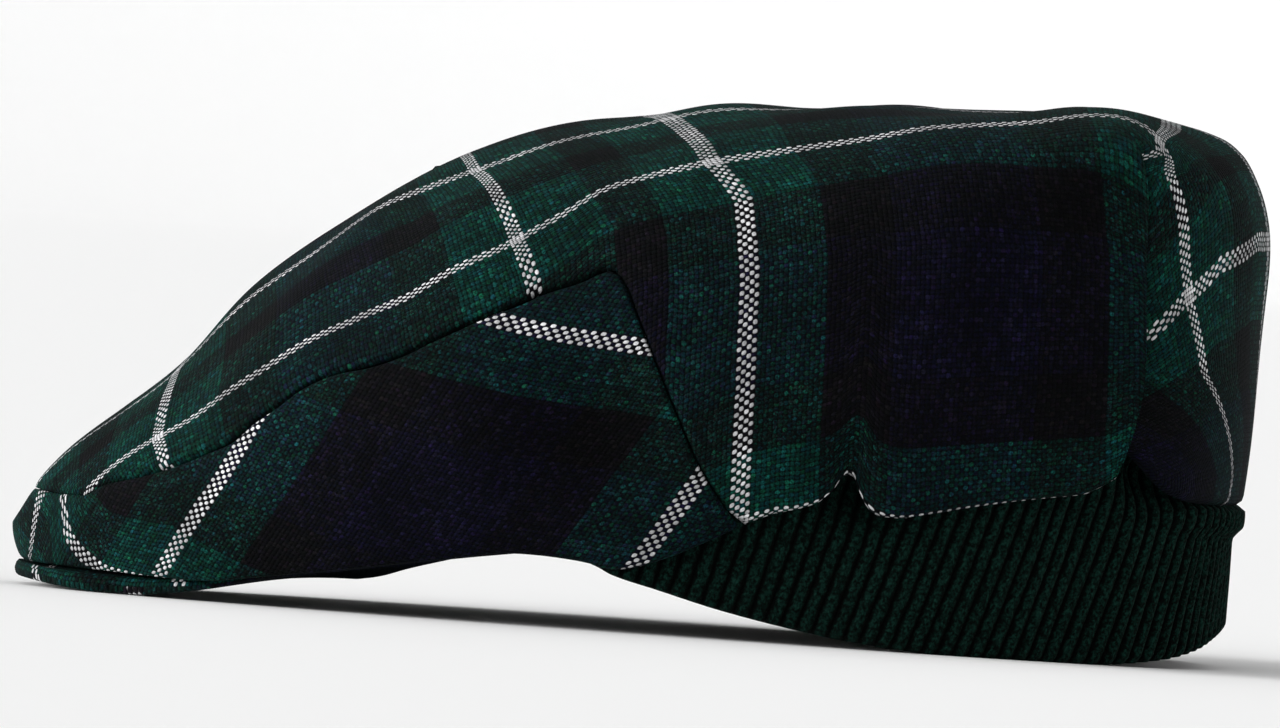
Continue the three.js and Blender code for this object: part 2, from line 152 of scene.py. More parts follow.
# Seam between the top panel and the cheeks: x, z
SEAM = np.array([
    (-139, 21.6), (-123.2, 21.8), (-118.4, 24.6), (-111.3, 27.2), (-104.3, 30.3), (-100.4, 32.2),
    (-96.5, 34), (-90.9, 36.5), (-85.3, 41.1), (-79.5, 45.4), (-73.8, 50.1), (-68.5, 52.6),
    (-59.5, 55.1), (-51.6, 58.2), (-47.0, 60.8), (-40.5, 64.4), (-34.0, 68.2), (-28.8, 71.3),
    (-23.0, 74.6), (-15.7, 77.6), (-8.8, 80.8), (1, 63.4), (6.8, 51.4), (14.2, 37.3), (23.6, 25),
])

# Soft bulges and hollows of the cloth: x, z, reach, height
SWELLS = (
    (-40, 50, 26, 3),
    (-7, 44, 17, -3.5),
    (60, 82, 34, 2.2),
    (39, 33, 8, 1.6),
    (57, 34, 9, 1.8),
    (98, 120, 17, 2.4),
    (70, 118, 16, -1.2),
    (-98, 33, 12, -1.5),
)
SWELLS_FADE_WIDTH = 55.0

# Gentle waves: seed and length on the cloth, then height, seed and length on the knit
CLOTH_WAVES = (3, 46.0)
BAND_WAVES = (0.35, 17, 22.0)
# Puckers beside a seam: height, how far they reach, seed and length of their waves
WING_PUCKERS = (0.45, 7.0, 7, 13.0)
CHEEK_PUCKERS = (0.5, 8.0, 11, 12.0)
# Rolled edges: radius and depth
SEAM_ROLL = (2.6, 1.5)
CHEEK_HEM_ROLL = (2.4, 1.3)
BAND_EDGE_ROLL = (1.6, 0.9)
# How much less the seam rolls in at the nose, and over how many degrees
NOSE_FLATNESS = 0.8
NOSE_DEGREES = 22.0

# Knit band: x, lower edge, hidden upper edge, distance inside the cloth, draw-in below that
BAND = np.array([
    (-16, 16.2, 26, 0.5, 0), (-11, 14.6, 26, 0.5, 0.7), (-6.6, 12.7, 26, 0.5, 1.3),
    (3.7, 10.2, 28, 0.5, 3),
    (19.7, 6.6, 34, 0.5, 4.5), (35.7, 3.9, 41, 0.5, 5.5), (51.6, 1.8, 45, 0.5, 6),
    (67.5, 0.4, 46, 0.5, 6), (74, 0, 46.5, 0.6, 6), (95, 0, 48, 1.4, 5),
    (107, 0, 49, 2.8, 3.6), (112, 0, 49, 2.6, 3.2), (119, 0.6, 49, 1.6, 2.6),
    (127, 2, 49, 1, 1.7), (133, 4.4, 49, 0.6, 1), (137, 7.5, 49, 0.5, 0.5),
    (139, 10, 49, 0.5, 0.3),
])
BAND_LOW, BAND_HIGH, BAND_INSIDE, BAND_DRAWN = 1, 2, 3, 4

# Hollows in the band, behind the notch and in the pocket behind the wing: x, z, reach, depth
BAND_HOLLOWS = ((49, 35, 7, 9), (115, 44, 7, 8))
# Roll of knit that swells out under the back flap: from x, to x
BAND_ROLL_X = (112.0, 133.0)
# Heights where the roll starts, where it is full, where it goes in under the cloth and where it has ended
BAND_ROLL_Z = (29.2, 32.6, 36.0, 37.6)
BAND_ROLL_OUT = 2.4
# Below the back flap the whole band stands out a little: from x, to x, below which height and
# over how much of it, how far
BAND_SPREAD = (112, 130, 38, 3, 1.3)

# Peak: x, height of the lower face at the edge, rise towards the forehead, inset from the hem
PEAK = np.array([
    (-139, 1.7, 8, -1.7), (-130, 0.5, 8, -1.6), (-124, 0, 7.5, -0.6), (-117, 0, 7, 3.1),
    (-106, 1.5, 6, 3.1), (-97, 3.4, 5, 3.1), (-90, 5.4, 4, 3.1), (-67, 9.5, 3, 3.1),
    (-44, 13.5, 2, 3.1), (-28, 15.9, 1, 3.1),
])
PEAK_LOW, PEAK_RISE, PEAK_INSET = 1, 2, 3

# Where the white cross stripes lie on the crown: distance down from the middle line, then the x of each
CROSS_STRIPES = np.array([
    (0, -136, -102, -43.7, -2.4, 114),
    (8, -136, -102.6, -43.5, -2, 114),
    (17, -136, -104, -42.5, -0.4, 113.9),
    (27, -136, -105, -41, 1.5, 113.8),
    (73, -134, -107.5, -29.8, 11.7, 112.3),
    (90, -133, -105, -25.5, 19.4, 114),
    (110, -132, -104, -24, 22, 118),
    (170, -132, -104, -24, 23.5, 119),
])
CROSS_STRIPE_CLOTH = np.array([-191.0, -145.0, -46.0, 0.0, 99.0])
# How the cloth is eased in: x, then how far round the cap the inner stripe, the outer stripe
# and the shoulder lie
EASE = np.array([
    (-139, 8, 36, 50), (-122, 10, 43.8, 58), (-106.5, 12, 51, 66), (-95, 15, 61, 77), (-85, 18, 68, 84.8),
    (-74, 23, 72.3, 89), (-63, 29, 78.2, 95), (-50, 34, 83.5, 100), (-36, 34, 83.5, 100), (-20, 30, 79.2, 96),
    (-9.4, 28, 73.5, 90.3), (5, 27, 73, 90), (25, 27, 73.2, 90), (62, 27, 73.2, 90), (80, 26, 70.5, 90),
    (95, 24, 63, 88), (102, 23, 60, 87), (107, 23, 62, 87), (112.6, 24, 71, 89), (118, 25, 76, 91),
    (139, 25, 76, 91),
])
EASED_CLOTH = (0.0, 27.0, 73.2, 90.0)
# How much more of the hem's white stripe shows: x, cloth
HEM_SHOWS = np.array([
    (0, 2), (20, 2), (28, 1.6), (36, 0.6), (44, 0.5), (49, 0.9), (54, 0.5), (58, 0), (64, -0.5),
    (100, -0.6),
])
LONG_STRIPE_CLOTH = 27.0
OUTER_STRIPE_CLOTH = 73.2
BACK_STRIPE_CLOTH = 145.0
SHOULDER_CLOTH = 90.0
HEM_STRIPE_CLOTH = 171.6

# Cloth measure of the white stripe that bends down the nose, and of the one at its tip
NOSE_STRIPE_CLOTH = -99.0
TIP_STRIPE_CLOTH = -145.2
# How much faster the cloth measure runs at a white stripe, which narrows it, and how far from it
# that reaches; the outer stripe's is for everywhere, and then what is added in front
NARROWING_REACH = 9.0
CROSS_NARROWING = 0.3
OUTER_NARROWING = (0.25, 0.55)
FLAP_NARROWING = 0.6
TIP_NARROWING = 0.7
TIP_NARROWING_REACH = 8.0
# Distances ahead of x = 0 over which the front's own narrowing sets in
FRONT_SETS_IN = (-10.0, 30.0)

# The cheek's grain. One way follows a line: where it starts to steepen and how far behind that it goes on,
# in length round the cap, its height there, its slope and how that grows
CHEEK_LINE_START = -19.0
CHEEK_LINE_BACK = -60.0
CHEEK_LINE_Z = 65.2
CHEEK_LINE_SLOPE = 0.08
CHEEK_LINE_GROWTH = 0.39 / 222.0
CHEEK_LINE_STRETCH = 1.16
# The other way slants: share of the length round the cap, share of the height, start, and stretch
CHEEK_SLANT = (0.84, 0.54, 7.3, 1.11)
# At the nose it stands nearly upright: how nearly, over which lengths, through which height
NOSE_UPRIGHT = 0.85
NOSE_UPRIGHT_FROM = (150.0, 165.0)
NOSE_UPRIGHT_Z = 18.0
# How the cheek's two grains bend at the nose: length round the cap, shift of each
CHEEK_BEND = np.array([
    (-182, 1, 7), (-165, -6, 5), (-149.8, -9.5, 2.8), (-145.8, -5, 2), (-143.3, 2, 1.6),
    (-140.8, 5.2, 1.2), (-136.4, 6.2, 0.8), (-130.4, 6.1, 0), (-125, 4.8, 0), (-118, 2.2, 0),
    (-111, 0, 0),
])

# Back flap: height, how far the lengthwise stripes have drawn in towards the middle
FLAP_DRAW_IN = np.array([
    (38, 62), (43.6, 58), (49, 45), (54.6, 32), (60, 21), (66, 11), (82, 4), (91, 2), (110, 0),
])
# Half width at which that draw-in holds in full, and the most that it grows to beyond
FLAP_HALF_WIDTH = 73.0
FLAP_DRAW_MOST = 1.4
# Back flap: distance from the middle, height of the white cross stripe
FLAP_STRIPE = np.array([(0, 97), (40, 96.5), (60, 91), (71, 82.4), (80, 71)])
# Where the flap's own grain sets in: degrees behind the dart, then height and how far below it for the whole
# flap and along the dart's edge
FLAP_GRAIN_DEGREES = 14.0
FLAP_GRAIN_TOP = (119.0, 9.0)
FLAP_GRAIN_DART = (DART_TOP_Z + 4.0, 8.0)

# The tartan's threads from one white line's middle on: how many, which colour
SETT = (
    (2, "white"), (14, "green"), (10, "black"), (14, "green"), (4, "white"), (14, "green"),
    (14, "black"), (14, "blue"), (2, "overcheck"), (14, "blue"), (14, "black"), (14, "green"),
    (2, "white"),
)
SETT_THREADS = sum(count for count, _ in SETT)
SECOND_WHITE = 42

# A bead of the weave: how much its length counts against its breadth, and how round it is; this shape sets
# its bump and also its painted highlight and painted shade
BEAD_LENGTHENING = 0.72
BEAD_ROUNDNESS = 0.62


def lookup(table, column, x):
    """A smooth curve through one column of a table of rows that start with x.

    Between two rows it is a cubic whose slope at each row is the harmonic mean of the
    chords on both sides, or 0 where they turn, so it never overshoots the rows.
    """
    xs = table[:, 0]
    ys = table[:, column]
    width = np.diff(xs)
    chord = np.diff(ys) / width
    before = chord[:-1]
    after = chord[1:]
    total = before + after
    same = before * after > 0
    middle = np.where(same, 2 * before * after / np.where(same, total, 1.0), 0.0)
    slope = np.concatenate([chord[:1], middle, chord[-1:]])
    held = np.clip(x, xs[0], xs[-1])
    i = np.clip(np.searchsorted(xs, held, side="right") - 1, 0, len(width) - 1)
    s = (held - xs[i]) / width[i]
    blend = s * s * (3 - 2 * s)
    lead = s * (1 - s) ** 2 * width[i] * slope[i]
    trail = s * s * (1 - s) * width[i] * slope[i + 1]
    return ys[i] + (ys[i + 1] - ys[i]) * blend + lead - trail


def smooth(value, low, high):
    """0 below low, 1 above high, and 3s^2 - 2s^3 between them."""
    s = np.clip((value - low) / (high - low), 0.0, 1.0)
    return s * s * (3 - 2 * s)


def outline_at(angle):
    """Plan outline: x and y are powers 2/n of the cosine and sine of the angle from the nose."""
    turn = np.radians(angle)
    along = np.cos(turn)
    across = np.clip(np.sin(turn), 0.0, 1.0)
    length = np.where(along > 0, FRONT_LENGTH, BACK_LENGTH)
    power = 2 / np.where(along > 0, FRONT_ROUNDNESS, BACK_ROUNDNESS)
    x = WIDEST_X - np.sign(along) * length * np.abs(along) ** power
    return x, HALF_WIDTH * across ** power


def angle_at_x(x):
    """The angle at which the plan outline reaches x, from the same superellipse."""
    ahead = WIDEST_X - x
    length = np.where(ahead > 0, FRONT_LENGTH, BACK_LENGTH)
    roundness = np.where(ahead > 0, FRONT_ROUNDNESS, BACK_ROUNDNESS)
    along = np.sign(ahead) * (np.abs(ahead) / length) ** (roundness / 2)
    return np.degrees(np.arccos(along))


def spine_at(angle):
    """Where a section leaves the crown's middle line: x falls evenly with the angle."""
    share = 1 - angle / 90
    return WIDEST_X - share * np.where(share > 0, SPINE_FRONT, SPINE_BACK)


def crown(angle, fall):
    """Points of the plain crown, in millimetres: fall is 0 at the middle line, 1 at the widest, 2 at the hem.

    Over the top each section is a superellipse under the ridge curve; below the widest
    line it draws in with the square of the way down to the hem.
    """
    out_x, out_y = outline_at(angle)
    spine_x = spine_at(angle)
    reach = np.hypot(out_x - spine_x, out_y)
    square = lookup(SECTION, SQUARE, out_x)
    widest = lookup(SECTION, WIDEST, out_x)
    over = np.radians(90 * np.minimum(fall, 1.0))
    below = np.maximum(fall - 1.0, 0.0)
    spread = np.sin(over) ** (2 / square)
    ratio = spread - lookup(SECTION, DRAWN, out_x) * below ** 2 / reach
    x = spine_x + (out_x - spine_x) * ratio
    y = out_y * ratio
    shoulder = np.clip(np.cos(over), 0.0, 1.0) ** (2 / square)
    drop = (lookup(RIDGE, 1, out_x) - widest) * (1 - shoulder)
    ridge = lookup(RIDGE, 1, np.where(below > 0, out_x, x))
    z = ridge - drop - below * (widest - lookup(HEM, 1, out_x))
    return np.stack([x, y, z], axis=-1)


def unit(vectors):
    """Vectors scaled to length 1."""
    return vectors / np.maximum(np.linalg.norm(vectors, axis=-1, keepdims=True), 1e-12)


def run_along(steps):
    """Length from the first point along each row of steps."""
    return np.concatenate([np.zeros((len(steps), 1)), np.cumsum(steps, axis=1)], axis=1)


def on_side(points, side):
    """The points on the wearer's left for side -1, as they are for side 1."""
    placed = points.copy()
    placed[..., 1] *= side
    return placed


def grid_normals(points):
    """Outward normals of a grid whose columns go round the cap and whose rows go down it."""
    along = np.gradient(points, axis=0)
    down = np.gradient(points, axis=1)
    return unit(np.cross(along, down))


def swell(points):
    """How far the soft bulges and hollows stand out: a sum of bells in side view."""
    push = np.zeros(points.shape[:-1])
    for x, z, reach, height in SWELLS:
        distance = np.hypot(points[..., 0] - x, points[..., 2] - z) / reach
        push += height * np.exp(-distance ** 2)
    return push * smooth(np.abs(points[..., 1]), 0.0, SWELLS_FADE_WIDTH)


def waves(points, seed, length, count=9):
    """Gentle unevenness: the mean of several sine waves in seeded directions, about as long as length."""
    rng = np.random.default_rng(seed)
    directions = unit(rng.normal(size=(count, 3)))
    stretch = rng.uniform(0.7, 1.4, size=(count, 1))
    phases = rng.uniform(0, 2 * np.pi, size=count)
    turns = points @ (directions * stretch * 2 * np.pi / length).T + phases
    return np.sin(turns).mean(axis=-1)


def falls_to(angle, height_at, samples=400):
    """For each section, the fall at which it first comes down to a line given as a height for each x."""
    fall = np.linspace(0.0, 2.0, samples)
    points = crown(angle[:, None], fall[None, :])
    over = points[..., 2] - height_at(points[..., 0])
    under = over <= 0
    under[:, -1] = True
    k = np.maximum(under.argmax(axis=1), 1)
    rows = np.arange(len(angle))
    high = over[rows, k - 1]
    low = over[rows, k]
    share = np.clip(high / np.where(high - low == 0, 1.0, high - low), 0.0, 1.0)
    return fall[k - 1] + (fall[k] - fall[k - 1]) * share


def even_falls(angle, start, end, rows, samples=240):
    """Falls from start to end of each section, spaced evenly along the cloth: the inverse of its length."""
    share = np.linspace(0.0, 1.0, samples)
    fall = start[:, None] + (end - start)[:, None] * share[None, :]
    points = crown(angle[:, None], fall)
    length = run_along(np.linalg.norm(np.diff(points, axis=1), axis=-1))
    wanted = np.linspace(0.0, 1.0, rows)
    made = [np.interp(wanted * l[-1], l, f) for l, f in zip(length, fall)]
    return np.array(made), length[:, -1]


def turned_edge(distance, radius, depth):
    """How far an edge rolls in: a quarter round that reaches depth at the edge and 0 at radius from it."""
    s = np.clip(distance / radius, 0.0, 1.0)
    return -depth * (1 - np.sqrt(np.maximum(1 - (1 - s) ** 2, 0.0)))


def flat_at_nose(angle):
    """How fully the seam's edges roll in at each column: less at the nose, where the cloth lies flat."""
    return 1 - NOSE_FLATNESS * np.exp(-(angle / NOSE_DEGREES) ** 2)[:, None]


def puckers(placed, from_seam, height, reach, seed, length):
    """Small waves beside a seam, which die away exponentially with the distance from it."""
    return height * np.exp(-from_seam / reach) * waves(placed, seed, length)


def cloth_relief(points, side):
    """The soft bulges of both sides and the gentle waves, which differ from side to side."""
    return swell(points) + settings().unevenness / MM * waves(on_side(points, side), *CLOTH_WAVES)


def cross_cloth(x, down):
    """Cloth measure along the cap: linear between the white stripes, whose x depends on the way down."""
    table = CROSS_STRIPES
    places = np.stack([np.interp(down, table[:, 0], table[:, k]) for k in range(1, table.shape[1])])
    measure = np.full(x.shape, np.nan)
    for k in range(len(places) - 1):
        share = (x - places[k]) / (places[k + 1] - places[k])
        value = CROSS_STRIPE_CLOTH[k] + share * (CROSS_STRIPE_CLOTH[k + 1] - CROSS_STRIPE_CLOTH[k])
        first = k == 0
        last = k == len(places) - 2
        inside = (first | (share >= 0)) & (last | (share < 1))
        measure = np.where(inside & np.isnan(measure), value, measure)
    return measure


def down_cloth(points):
    """Cloth measure from the middle line: length down a section without its slope along the cap."""
    step = np.diff(points, axis=1)
    slope = lookup(RIDGE, 1, points[..., 0] + 0.5) - lookup(RIDGE, 1, points[..., 0] - 0.5)
    rise = step[..., 2] - slope[:, :-1] * step[..., 0]
    return run_along(np.hypot(step[..., 1], np.where(points[:, :-1, 2] > 90, rise, step[..., 2])))


def cut_lengths(angle, cut_x, samples=160):
    """Lengths round the crown from the middle line to each section, along cuts across the cap at fixed x.

    A section meets a cut where its own x has come down to the cut's, and the lengths add up
    from one section to the next.
    """
    fall = np.linspace(0.0, 1.0, samples)
    points = crown(angle[:, None], fall[None, :])
    y = np.array([np.interp(-cut_x, -p[:, 0], p[:, 1]) for p in points])
    z = np.array([np.interp(-cut_x, -p[:, 0], p[:, 2]) for p in points])
    behind = cut_x[None, :] >= spine_at(angle)[:, None]
    y = np.where(behind, 0.0, y)
    z = np.where(behind, lookup(RIDGE, 1, cut_x)[None, :], z)
    step = np.hypot(np.diff(y, axis=0), np.diff(z, axis=0))
    return np.concatenate([np.zeros((1, len(cut_x))), np.cumsum(step, axis=0)])


def round_cloth(points, angle, fall):
    """Length from the middle line: down each section, but in front, where the sections fan out,
    along the cut across the cap, with the way down added below the widest line."""
    down = down_cloth(points)
    front = angle < 90
    if not front.any():
        return down
    cut_x = np.linspace(RIDGE[0, 0], WIDEST_X, 165)
    lengths = cut_lengths(angle[front], cut_x)
    x = points[front, :, 0]
    over = np.array([np.interp(row_x, cut_x, row) for row_x, row in zip(x, lengths)])
    out_x, _ = outline_at(angle[front])
    edge = np.array([np.interp(at, cut_x, row) for at, row in zip(out_x, lengths)])
    edge_down = np.array([np.interp(1.0, f, d) for f, d in zip(fall[front], down[front])])
    over = np.where(fall[front] > 1, edge[:, None] + down[front] - edge_down[:, None], over)
    down[front] += (over - down[front]) * smooth(-x, -WIDEST_X, 40.0)
    return down


def eased(length, x):
    """Cloth measure of a length round the cap: linear between the stripes' and the shoulder's places."""
    knots = [0 * x, *(lookup(EASE, k, x) for k in (1, 2, 3))]
    measure = EASED_CLOTH[3] + length - knots[3]
    for k in (2, 1, 0):
        share = (length - knots[k]) / (knots[k + 1] - knots[k])
        part = EASED_CLOTH[k] + share * (EASED_CLOTH[k + 1] - EASED_CLOTH[k])
        measure = np.where(length < knots[k + 1], part, measure)
    return measure


def narrowed(measure, stripe, gain, reach=NARROWING_REACH):
    """Cloth measure that runs faster by gain at a stripe, in a bell of the given reach, and is the same
    elsewhere."""
    off = measure - stripe
    return measure + gain * off * np.exp(-(off / reach) ** 2)


def fitted_to_hem(down, angle):
    """Cloth measure stretched a little below the shoulder, so that a white stripe runs along the hem."""
    out_x, _ = outline_at(angle)
    fall, _ = even_falls(angle, np.zeros(len(angle)), np.full(len(angle), 2.0), 60)
    hem = eased(down_cloth(crown(angle[:, None], fall))[:, -1], out_x)
    wanted = HEM_STRIPE_CLOTH + lookup(HEM_SHOWS, 1, out_x)
    stretch = (wanted - SHOULDER_CLOTH) / np.maximum(hem - SHOULDER_CLOTH, 20.0)
    stretch = 1 + (stretch - 1) * smooth(out_x, -25.0, 15.0)
    low = np.maximum(down - SHOULDER_CLOTH, 0.0)
    return np.minimum(down, SHOULDER_CLOTH) + low * stretch[:, None]


def crown_weave(points, angle, fall, part, side):
    """Thread numbers of the top panel: cloth measures over the thread pitch, with the flap's own grain."""
    x, y, z = np.moveaxis(points, -1, 0)
    down = eased(round_cloth(points, angle, fall), x)
    front = smooth(-x, *FRONT_SETS_IN)
    u = cross_cloth(x, down)
    for stripe in CROSS_STRIPE_CLOTH[1:3]:
        u = narrowed(u, stripe, CROSS_NARROWING * front)
    everywhere, more_in_front = OUTER_NARROWING
    v = narrowed(fitted_to_hem(down, angle), OUTER_STRIPE_CLOTH, everywhere + more_in_front * front)
    if part == "flap":
        draw = np.interp(z, *FLAP_DRAW_IN.T) * np.clip(y / FLAP_HALF_WIDTH, 0, FLAP_DRAW_MOST)
        flap_v = narrowed(y + draw, OUTER_STRIPE_CLOTH, FLAP_NARROWING)
        flap_u = BACK_STRIPE_CLOTH + np.interp(y, *FLAP_STRIPE.T) - z
        dart = float(angle_at_x(DART_X))
        aside = smooth(angle, dart, dart + FLAP_GRAIN_DEGREES)[:, None]
        below_top, below_dart = (
            smooth(height - z, 0.0, over) for height, over in (FLAP_GRAIN_TOP, FLAP_GRAIN_DART))
        share = below_top * np.maximum(aside, below_dart)
        u = u + (flap_u - u) * share
        v = v + (flap_v - v) * share
    pitch = settings().thread_pitch / MM
    return np.stack([
        u / pitch + SECOND_WHITE,
        (side * v + LONG_STRIPE_CLOTH) / pitch + SECOND_WHITE,
    ], axis=-1)


def dart_opening(z):
    """How far the dart's slit has opened: 0 above the dart, 1 at the hem."""
    return smooth(DART_TOP_Z - z, 0.0, DART_TOP_Z - DART_OPEN_Z)


def settings():
    """The cap's sizes and colours."""
    return bpy.context.scene.flat_cap


def studio():
    """The studio's settings."""
    return bpy.context.scene.flat_cap_studio


def grid_faces(columns, rows, start=0):
    """Faces that join each point of a grid to its neighbours, as numbers of points from start on."""
    index = start + np.arange(columns * rows).reshape(columns, rows)
    quads = np.stack([index[:-1, :-1], index[1:, :-1], index[1:, 1:], index[:-1, 1:]], axis=-1)
    return quads.reshape(-1, 4)


def weld(mesh, distance=2e-6, fill=False, outwards=False):
    """Points that meet are made one; open ends are filled and faces turned outwards where asked."""
    work = bmesh.new()
    work.from_mesh(mesh)
    bmesh.ops.remove_doubles(work, verts=work.verts, dist=distance)
    if fill:
        open_edges = [edge for edge in work.edges if edge.is_boundary]
        bmesh.ops.holes_fill(work, edges=open_edges, sides=0)
    if outwards:
        bmesh.ops.recalc_face_normals(work, faces=work.faces)
    work.to_mesh(mesh)
    work.free()
    mesh.polygons.foreach_set("use_smooth", np.ones(len(mesh.polygons), bool))


def turned_for(side, grid):
    """A side's points and measures with the columns of the wearer's right in the opposite order."""
    return grid if side < 0 else tuple(values[::-1] for values in grid)


def put_mesh(name, grids, uv_name, material):
    """One welded object from grids of points in millimetres, each with a uv pair at every point."""
    verts = []
    faces = []
    uvs = []
    start = 0
    for points, weave in grids:
        columns, rows = points.shape[:2]
        verts.append(points.reshape(-1, 3) * MM)
        uvs.append(weave.reshape(-1, 2))
        faces.append(grid_faces(columns, rows, start))
        start += columns * rows
    verts = np.concatenate(verts)
    faces = np.concatenate(faces)
    uvs = np.concatenate(uvs)
    mesh = bpy.data.meshes.new(name)
    mesh.from_pydata(verts.tolist(), [], faces.tolist())
    layer = mesh.uv_layers.new(name=uv_name)
    layer.data.foreach_set("uv", uvs[faces.ravel()].astype(np.float32).ravel())
    weld(mesh)
    mesh.materials.append(material)
    piece = bpy.data.objects.new(name, mesh)
    bpy.context.scene.collection.objects.link(piece)
    return piece


def turn_outwards(piece):
    """Faces whose normals point towards the middle of the cap are turned round together."""
    mesh = piece.data
    count = len(mesh.polygons)
    centres = np.zeros(count * 3)
    normals = np.zeros(count * 3)
    mesh.polygons.foreach_get("center", centres)
    mesh.polygons.foreach_get("normal", normals)
    middle = np.array([0.0, 0.0, 0.03])
    outward = ((centres.reshape(-1, 3) - middle) * normals.reshape(-1, 3)).sum(axis=1)
    if outward.mean() < 0:
        mesh.flip_normals()


def thicken(piece, thickness):
    """The sheet gets its thickness inwards, with a closed rim, as part of its mesh."""
    wall = piece.modifiers.new("Cloth thickness", "SOLIDIFY")
    wall.thickness = thickness
    wall.offset = -1
    wall.use_even_offset = False
    wall.use_rim = True
    bpy.context.view_layer.update()
    depsgraph = bpy.context.evaluated_depsgraph_get()
    made = bpy.data.meshes.new_from_object(piece.evaluated_get(depsgraph))
    piece.modifiers.clear()
    piece.data = made


def finish_piece(piece, node):
    """The piece rides on the cap and stands for its solid, whose CAD part is hidden."""
    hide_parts(node)
    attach(piece, "root")


def declare_sheet(piece):
    """The areas of the piece's faces are read; nothing is done with them.
    """
    mesh = piece.data
    areas = np.zeros(len(mesh.polygons))
    mesh.polygons.foreach_get("area", areas)


def pocket_edge(x):
    """The back flap's lower edge: the hem, raised at the dart so that a dark pocket opens behind the wing."""
    return lookup(HEM, 1, np.maximum(x, DART_X + 0.2)) + POCKET_RISE * smooth(-x, -POCKET_END_X, -DART_X - 1)


def crown_part(angle, part, side, rows):
    """One side's wing or back flap with the part of the top above it: points and thread numbers.

    The crown's points move along their normals by the bulges, the dart's flare or tuck, the rolled
    edge and the puckers, and along the cap where the flap laps under the wing.
    """
    corner = float(angle_at_x(SEAM[-1, 0]))
    if part == "wing":
        ends = np.where(angle > corner, 2.0, falls_to(angle, lambda x: lookup(SEAM, 1, x)))
    else:
        ends = falls_to(angle, pocket_edge)
    fall, length = even_falls(angle, np.zeros(len(angle)), ends, rows)
    plain = crown(angle[:, None], fall)
    near = np.maximum(1 - np.abs(angle - float(angle_at_x(DART_X))) / DART_REACH, 0) ** 2
    opening = dart_opening(plain[..., 2])
    if part == "wing":
        push = WING_FLARE * opening * near[:, None]
        shift = -DART_SLIT * near[:, None] * (opening > 0)
    else:
        lap = FLAP_LAP * smooth(opening, LAP_FROM, 1.0)
        push = -FLAP_TUCK * opening * near[:, None]
        shift = (DART_SLIT - lap) * near[:, None] * (opening > 0)
    points = crown(angle[:, None] + shift, fall)
    normals = grid_normals(crown(angle[:, None], fall))
    normals[:, 0, 1] = 0
    normals = unit(normals)
    edge = length[:, None] * np.linspace(1.0, 0.0, rows)[None, :]
    offset = cloth_relief(points, side) + push
    offset = offset + turned_edge(edge, *SEAM_ROLL) * flat_at_nose(angle)
    if part == "wing":
        by_seam = (angle < corner)[:, None]
        offset = offset + by_seam * puckers(on_side(points, side), edge, *WING_PUCKERS)
    weave = crown_weave(plain, angle, fall, part, side)
    return on_side(points + normals * offset[..., None], side), weave


class CapSettings(bpy.types.PropertyGroup):
    """Sizes and colours of the cap."""

    cloth_thickness: bpy.props.FloatProperty(
        name="Cloth thickness", description="Thickness of the tartan cloth",
        default=0.0018, min=0.0005, max=0.003, subtype="DISTANCE", unit="LENGTH")
    knit_thickness: bpy.props.FloatProperty(
        name="Knit thickness", description="Thickness of the knit band",
        default=0.0022, min=0.0005, max=0.005, subtype="DISTANCE", unit="LENGTH")
    thread_pitch: bpy.props.FloatProperty(
        name="Thread pitch", description="Distance from one thread of the weave to the next",
        default=0.0011, min=0.0003, max=0.003, subtype="DISTANCE", unit="LENGTH")
    unevenness: bpy.props.FloatProperty(
        name="Unevenness", description="Height of the cloth's gentle waves",
        default=0.0016, min=0.0, max=0.005, subtype="DISTANCE", unit="LENGTH")
    rib_pitch: bpy.props.FloatProperty(
        name="Rib pitch", description="Distance from one rib of the knit to the next",
        default=0.0037, min=0.002, max=0.008, subtype="DISTANCE", unit="LENGTH")
    rib_depth: bpy.props.FloatProperty(
        name="Rib depth", description="Depth of the grooves between the ribs",
        default=0.0013, min=0.0, max=0.003, subtype="DISTANCE", unit="LENGTH")
    rib_lean: bpy.props.FloatProperty(
        name="Rib lean", description="How far the ribs lean back",
        default=math.radians(16), subtype="ANGLE", unit="ROTATION")
    green: bpy.props.FloatVectorProperty(
        name="Green", description="Colour of the green threads",
        default=(0.0010, 0.0195, 0.0157), min=0, max=1, subtype="COLOR")
    blue: bpy.props.FloatVectorProperty(
        name="Blue", description="Colour of the navy threads",
        default=(0.0019, 0.0018, 0.0070), min=0, max=1, subtype="COLOR")
    black: bpy.props.FloatVectorProperty(
        name="Black", description="Colour of the black threads",
        default=(0.0015, 0.0014, 0.0022), min=0, max=1, subtype="COLOR")
    white: bpy.props.FloatVectorProperty(
        name="White", description="Colour of the white threads",
        default=(0.47, 0.47, 0.48), min=0, max=1, subtype="COLOR")
    knit: bpy.props.FloatVectorProperty(
        name="Knit", description="Colour of the knit band",
        default=(0.0015, 0.0082, 0.0060), min=0, max=1, subtype="COLOR")


